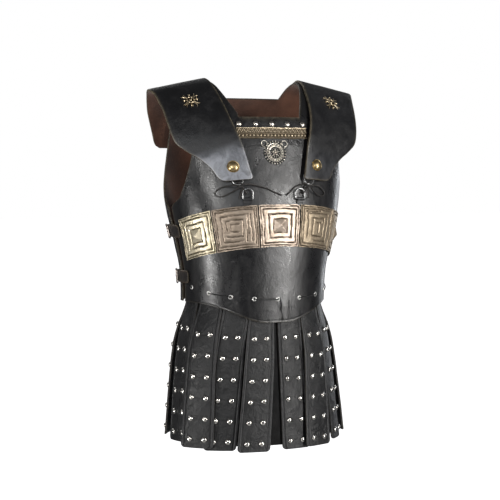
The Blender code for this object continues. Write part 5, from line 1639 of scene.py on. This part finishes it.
under = {"share": 0.90, "shorter": 0.010, "cells": 8, "bandRows": 10, "tongueRows": 60}


def underSkirt(name, first, count, node):
    cells, bandRows = under["cells"], under["bandRows"]
    band = skirt["top"] + skirt["band"]
    half = under["share"] / 2
    us, gaps = [], set()
    for k in range(count):
        if k:
            gaps.add(len(us) - 1)
        us += [first + k + a for a in spread(-half, half, cells)]
    shares = spread(0.0, 1.0, bandRows) + spread(0.0, 1.0, under["tongueRows"])[1:]

    def place(i, j, outerFace):
        tongue = first + i // (cells + 1)
        foot = skirt["top"] + skirt["length"] - under["shorter"] - sideRise(tongue)
        drop = mix(skirt["top"], band, shares[j]) if j <= bandRows else mix(band, foot, shares[j])
        u = (us[i] - tongue) / half
        narrow = cornerCut(foot - drop, 0.006) / 0.022
        lift = leatherOf["under"] if outerFace else 0.0
        return skirtPoint(drop, tongue + half * u * (1 - narrow), lift)

    def keep(i, j):
        return j < bandRows or i not in gaps

    materials = [leathers["plainTongueLeather"], darkEdge]
    obj = sheetPiece(name, place, len(us) - 1, len(shares) - 1, materials, keep, None, 0.0005)
    dress(obj, "skirt_leather", node)


for stripNumber in range(1, skirt["strips"] + 1):
    skirtStrip(stripNumber)
underSkirt("underSkirt_front", -3, 7, "under_skirt_front")
underSkirt("underSkirt_back", 4, 9, "under_skirt_back")
print("skirt made")


# side straps and buckles; the upper height is a share of the belt, the lower one of the room below it

sideStrap = {"width": 0.0260, "backAngle": 128.0, "buckleAngle": 101.0, "wire": 0.0016, "length": 0.0240,
             "corner": 0.0045, "perDegree": 0.0026,
             "levels": (("upper", 0.282, 82.5), ("lower", 0.398, 80.0)), "lift": 0.0012}


def strapPiece(name, side, drop, frontAngle, node):
    steps, columns = 60, 10
    angles = spread(frontAngle, sideStrap["backAngle"], steps)

    def place(i, j, outerFace):
        ends = min(i, steps - i) / steps * (angles[-1] - angles[0]) * sideStrap["perDegree"]
        half = sideStrap["width"] / 2 - cornerCut(ends, 0.005)
        share = 1 - 2 * j / columns
        lift = leatherOf["plate"] + sideStrap["lift"]
        if outerFace:
            toEdge = half * (1 - abs(share))
            lift += leatherOf["strap"]
            lift -= 0.0004 * bell(toEdge, 0.0012) + 0.0003 * bell(toEdge - 0.0035, 0.0008)
        return ringPoint(drop + half * share, side * angles[i], lift)

    def wear(i, j):
        return math.exp(-min(j, columns - j) / 0.8)

    materials = [leathers["brownStrapLeather"], paleEdge]
    obj = sheetPiece(name, place, steps, columns, materials, None, {"wear": wear}, 0.0006)
    dress(obj, "strap_leather", node)


def buckleLocal(side, drop):
    lift = leatherOf["plate"] + sideStrap["lift"] + leatherOf["strap"]
    centre = ringPoint(drop, side * sideStrap["buckleAngle"], lift)
    out = ringPoint(drop, side * sideStrap["buckleAngle"], 0.03) - centre
    return flatPatch(centre + out.normalized() * 0.0006, out)


def bucklePiece(name, side, drop, node):
    place = buckleLocal(side, drop)
    r, corner = sideStrap["wire"], sideStrap["corner"]
    w, h = sideStrap["length"] / 2 - r, sideStrap["width"] * 0.62 - r
    outline = []
    for k, (cx, cy) in enumerate(((1, 1), (-1, 1), (-1, -1), (1, -1))):
        for turn in spread(90 * k, 90 * k + 90, 5):
            a = math.radians(turn)
            x, y = polar(corner, a)
            outline.append((cx * (w - corner) + x, cy * (h - corner) + y))
    bm = bmesh.new()
    wire(bm, [place(x, y, r) for x, y in outline], r, 10, True)
    wire(bm, [place(0, y, r * 0.9) for y in spread(-h, h, 8)], r * 0.9, 10)
    prong = [(0.0, 2.2), (0.003, 2.3), (0.007, 1.9), (w + 0.0012, 2.3)]
    route = smoothRoute([place(x, 0, r * share) for x, share in prong], 0.0016)
    wire(bm, route, r * 0.75, 8, False, None, lambda s: 1.0 - 0.3 * s)
    for reach in (2.1, 3.0):  # two rivets behind the frame
        turned(bm, domeProfile(0.0032, 0.0016, 5, 0.0003), 20, movedPatch(place, -w * reach * 0.75, 0))
    dress(meshPiece(name, bm, [metals["buckleMetal"]], 50), "buckle_metal", node)


for sideName, sideSign in sides:
    for levelName, dropShare, frontAngle in sideStrap["levels"]:
        if levelName == "upper":
            strapDrop = beltDrop(beltAngles[-1], dropShare)
        else:
            strapDrop = mix(beltDrop(beltAngles[-1], 1.0), plates["hemSide"], dropShare)
        place = f"{levelName}_{sideName}"
        strapPiece(f"sideStrap_{place}", sideSign, strapDrop, frontAngle, f"side_strap_{place}")
        bucklePiece(f"sideBuckle_{place}", sideSign, strapDrop, f"side_buckle_{place}")
print("side straps and buckles made")
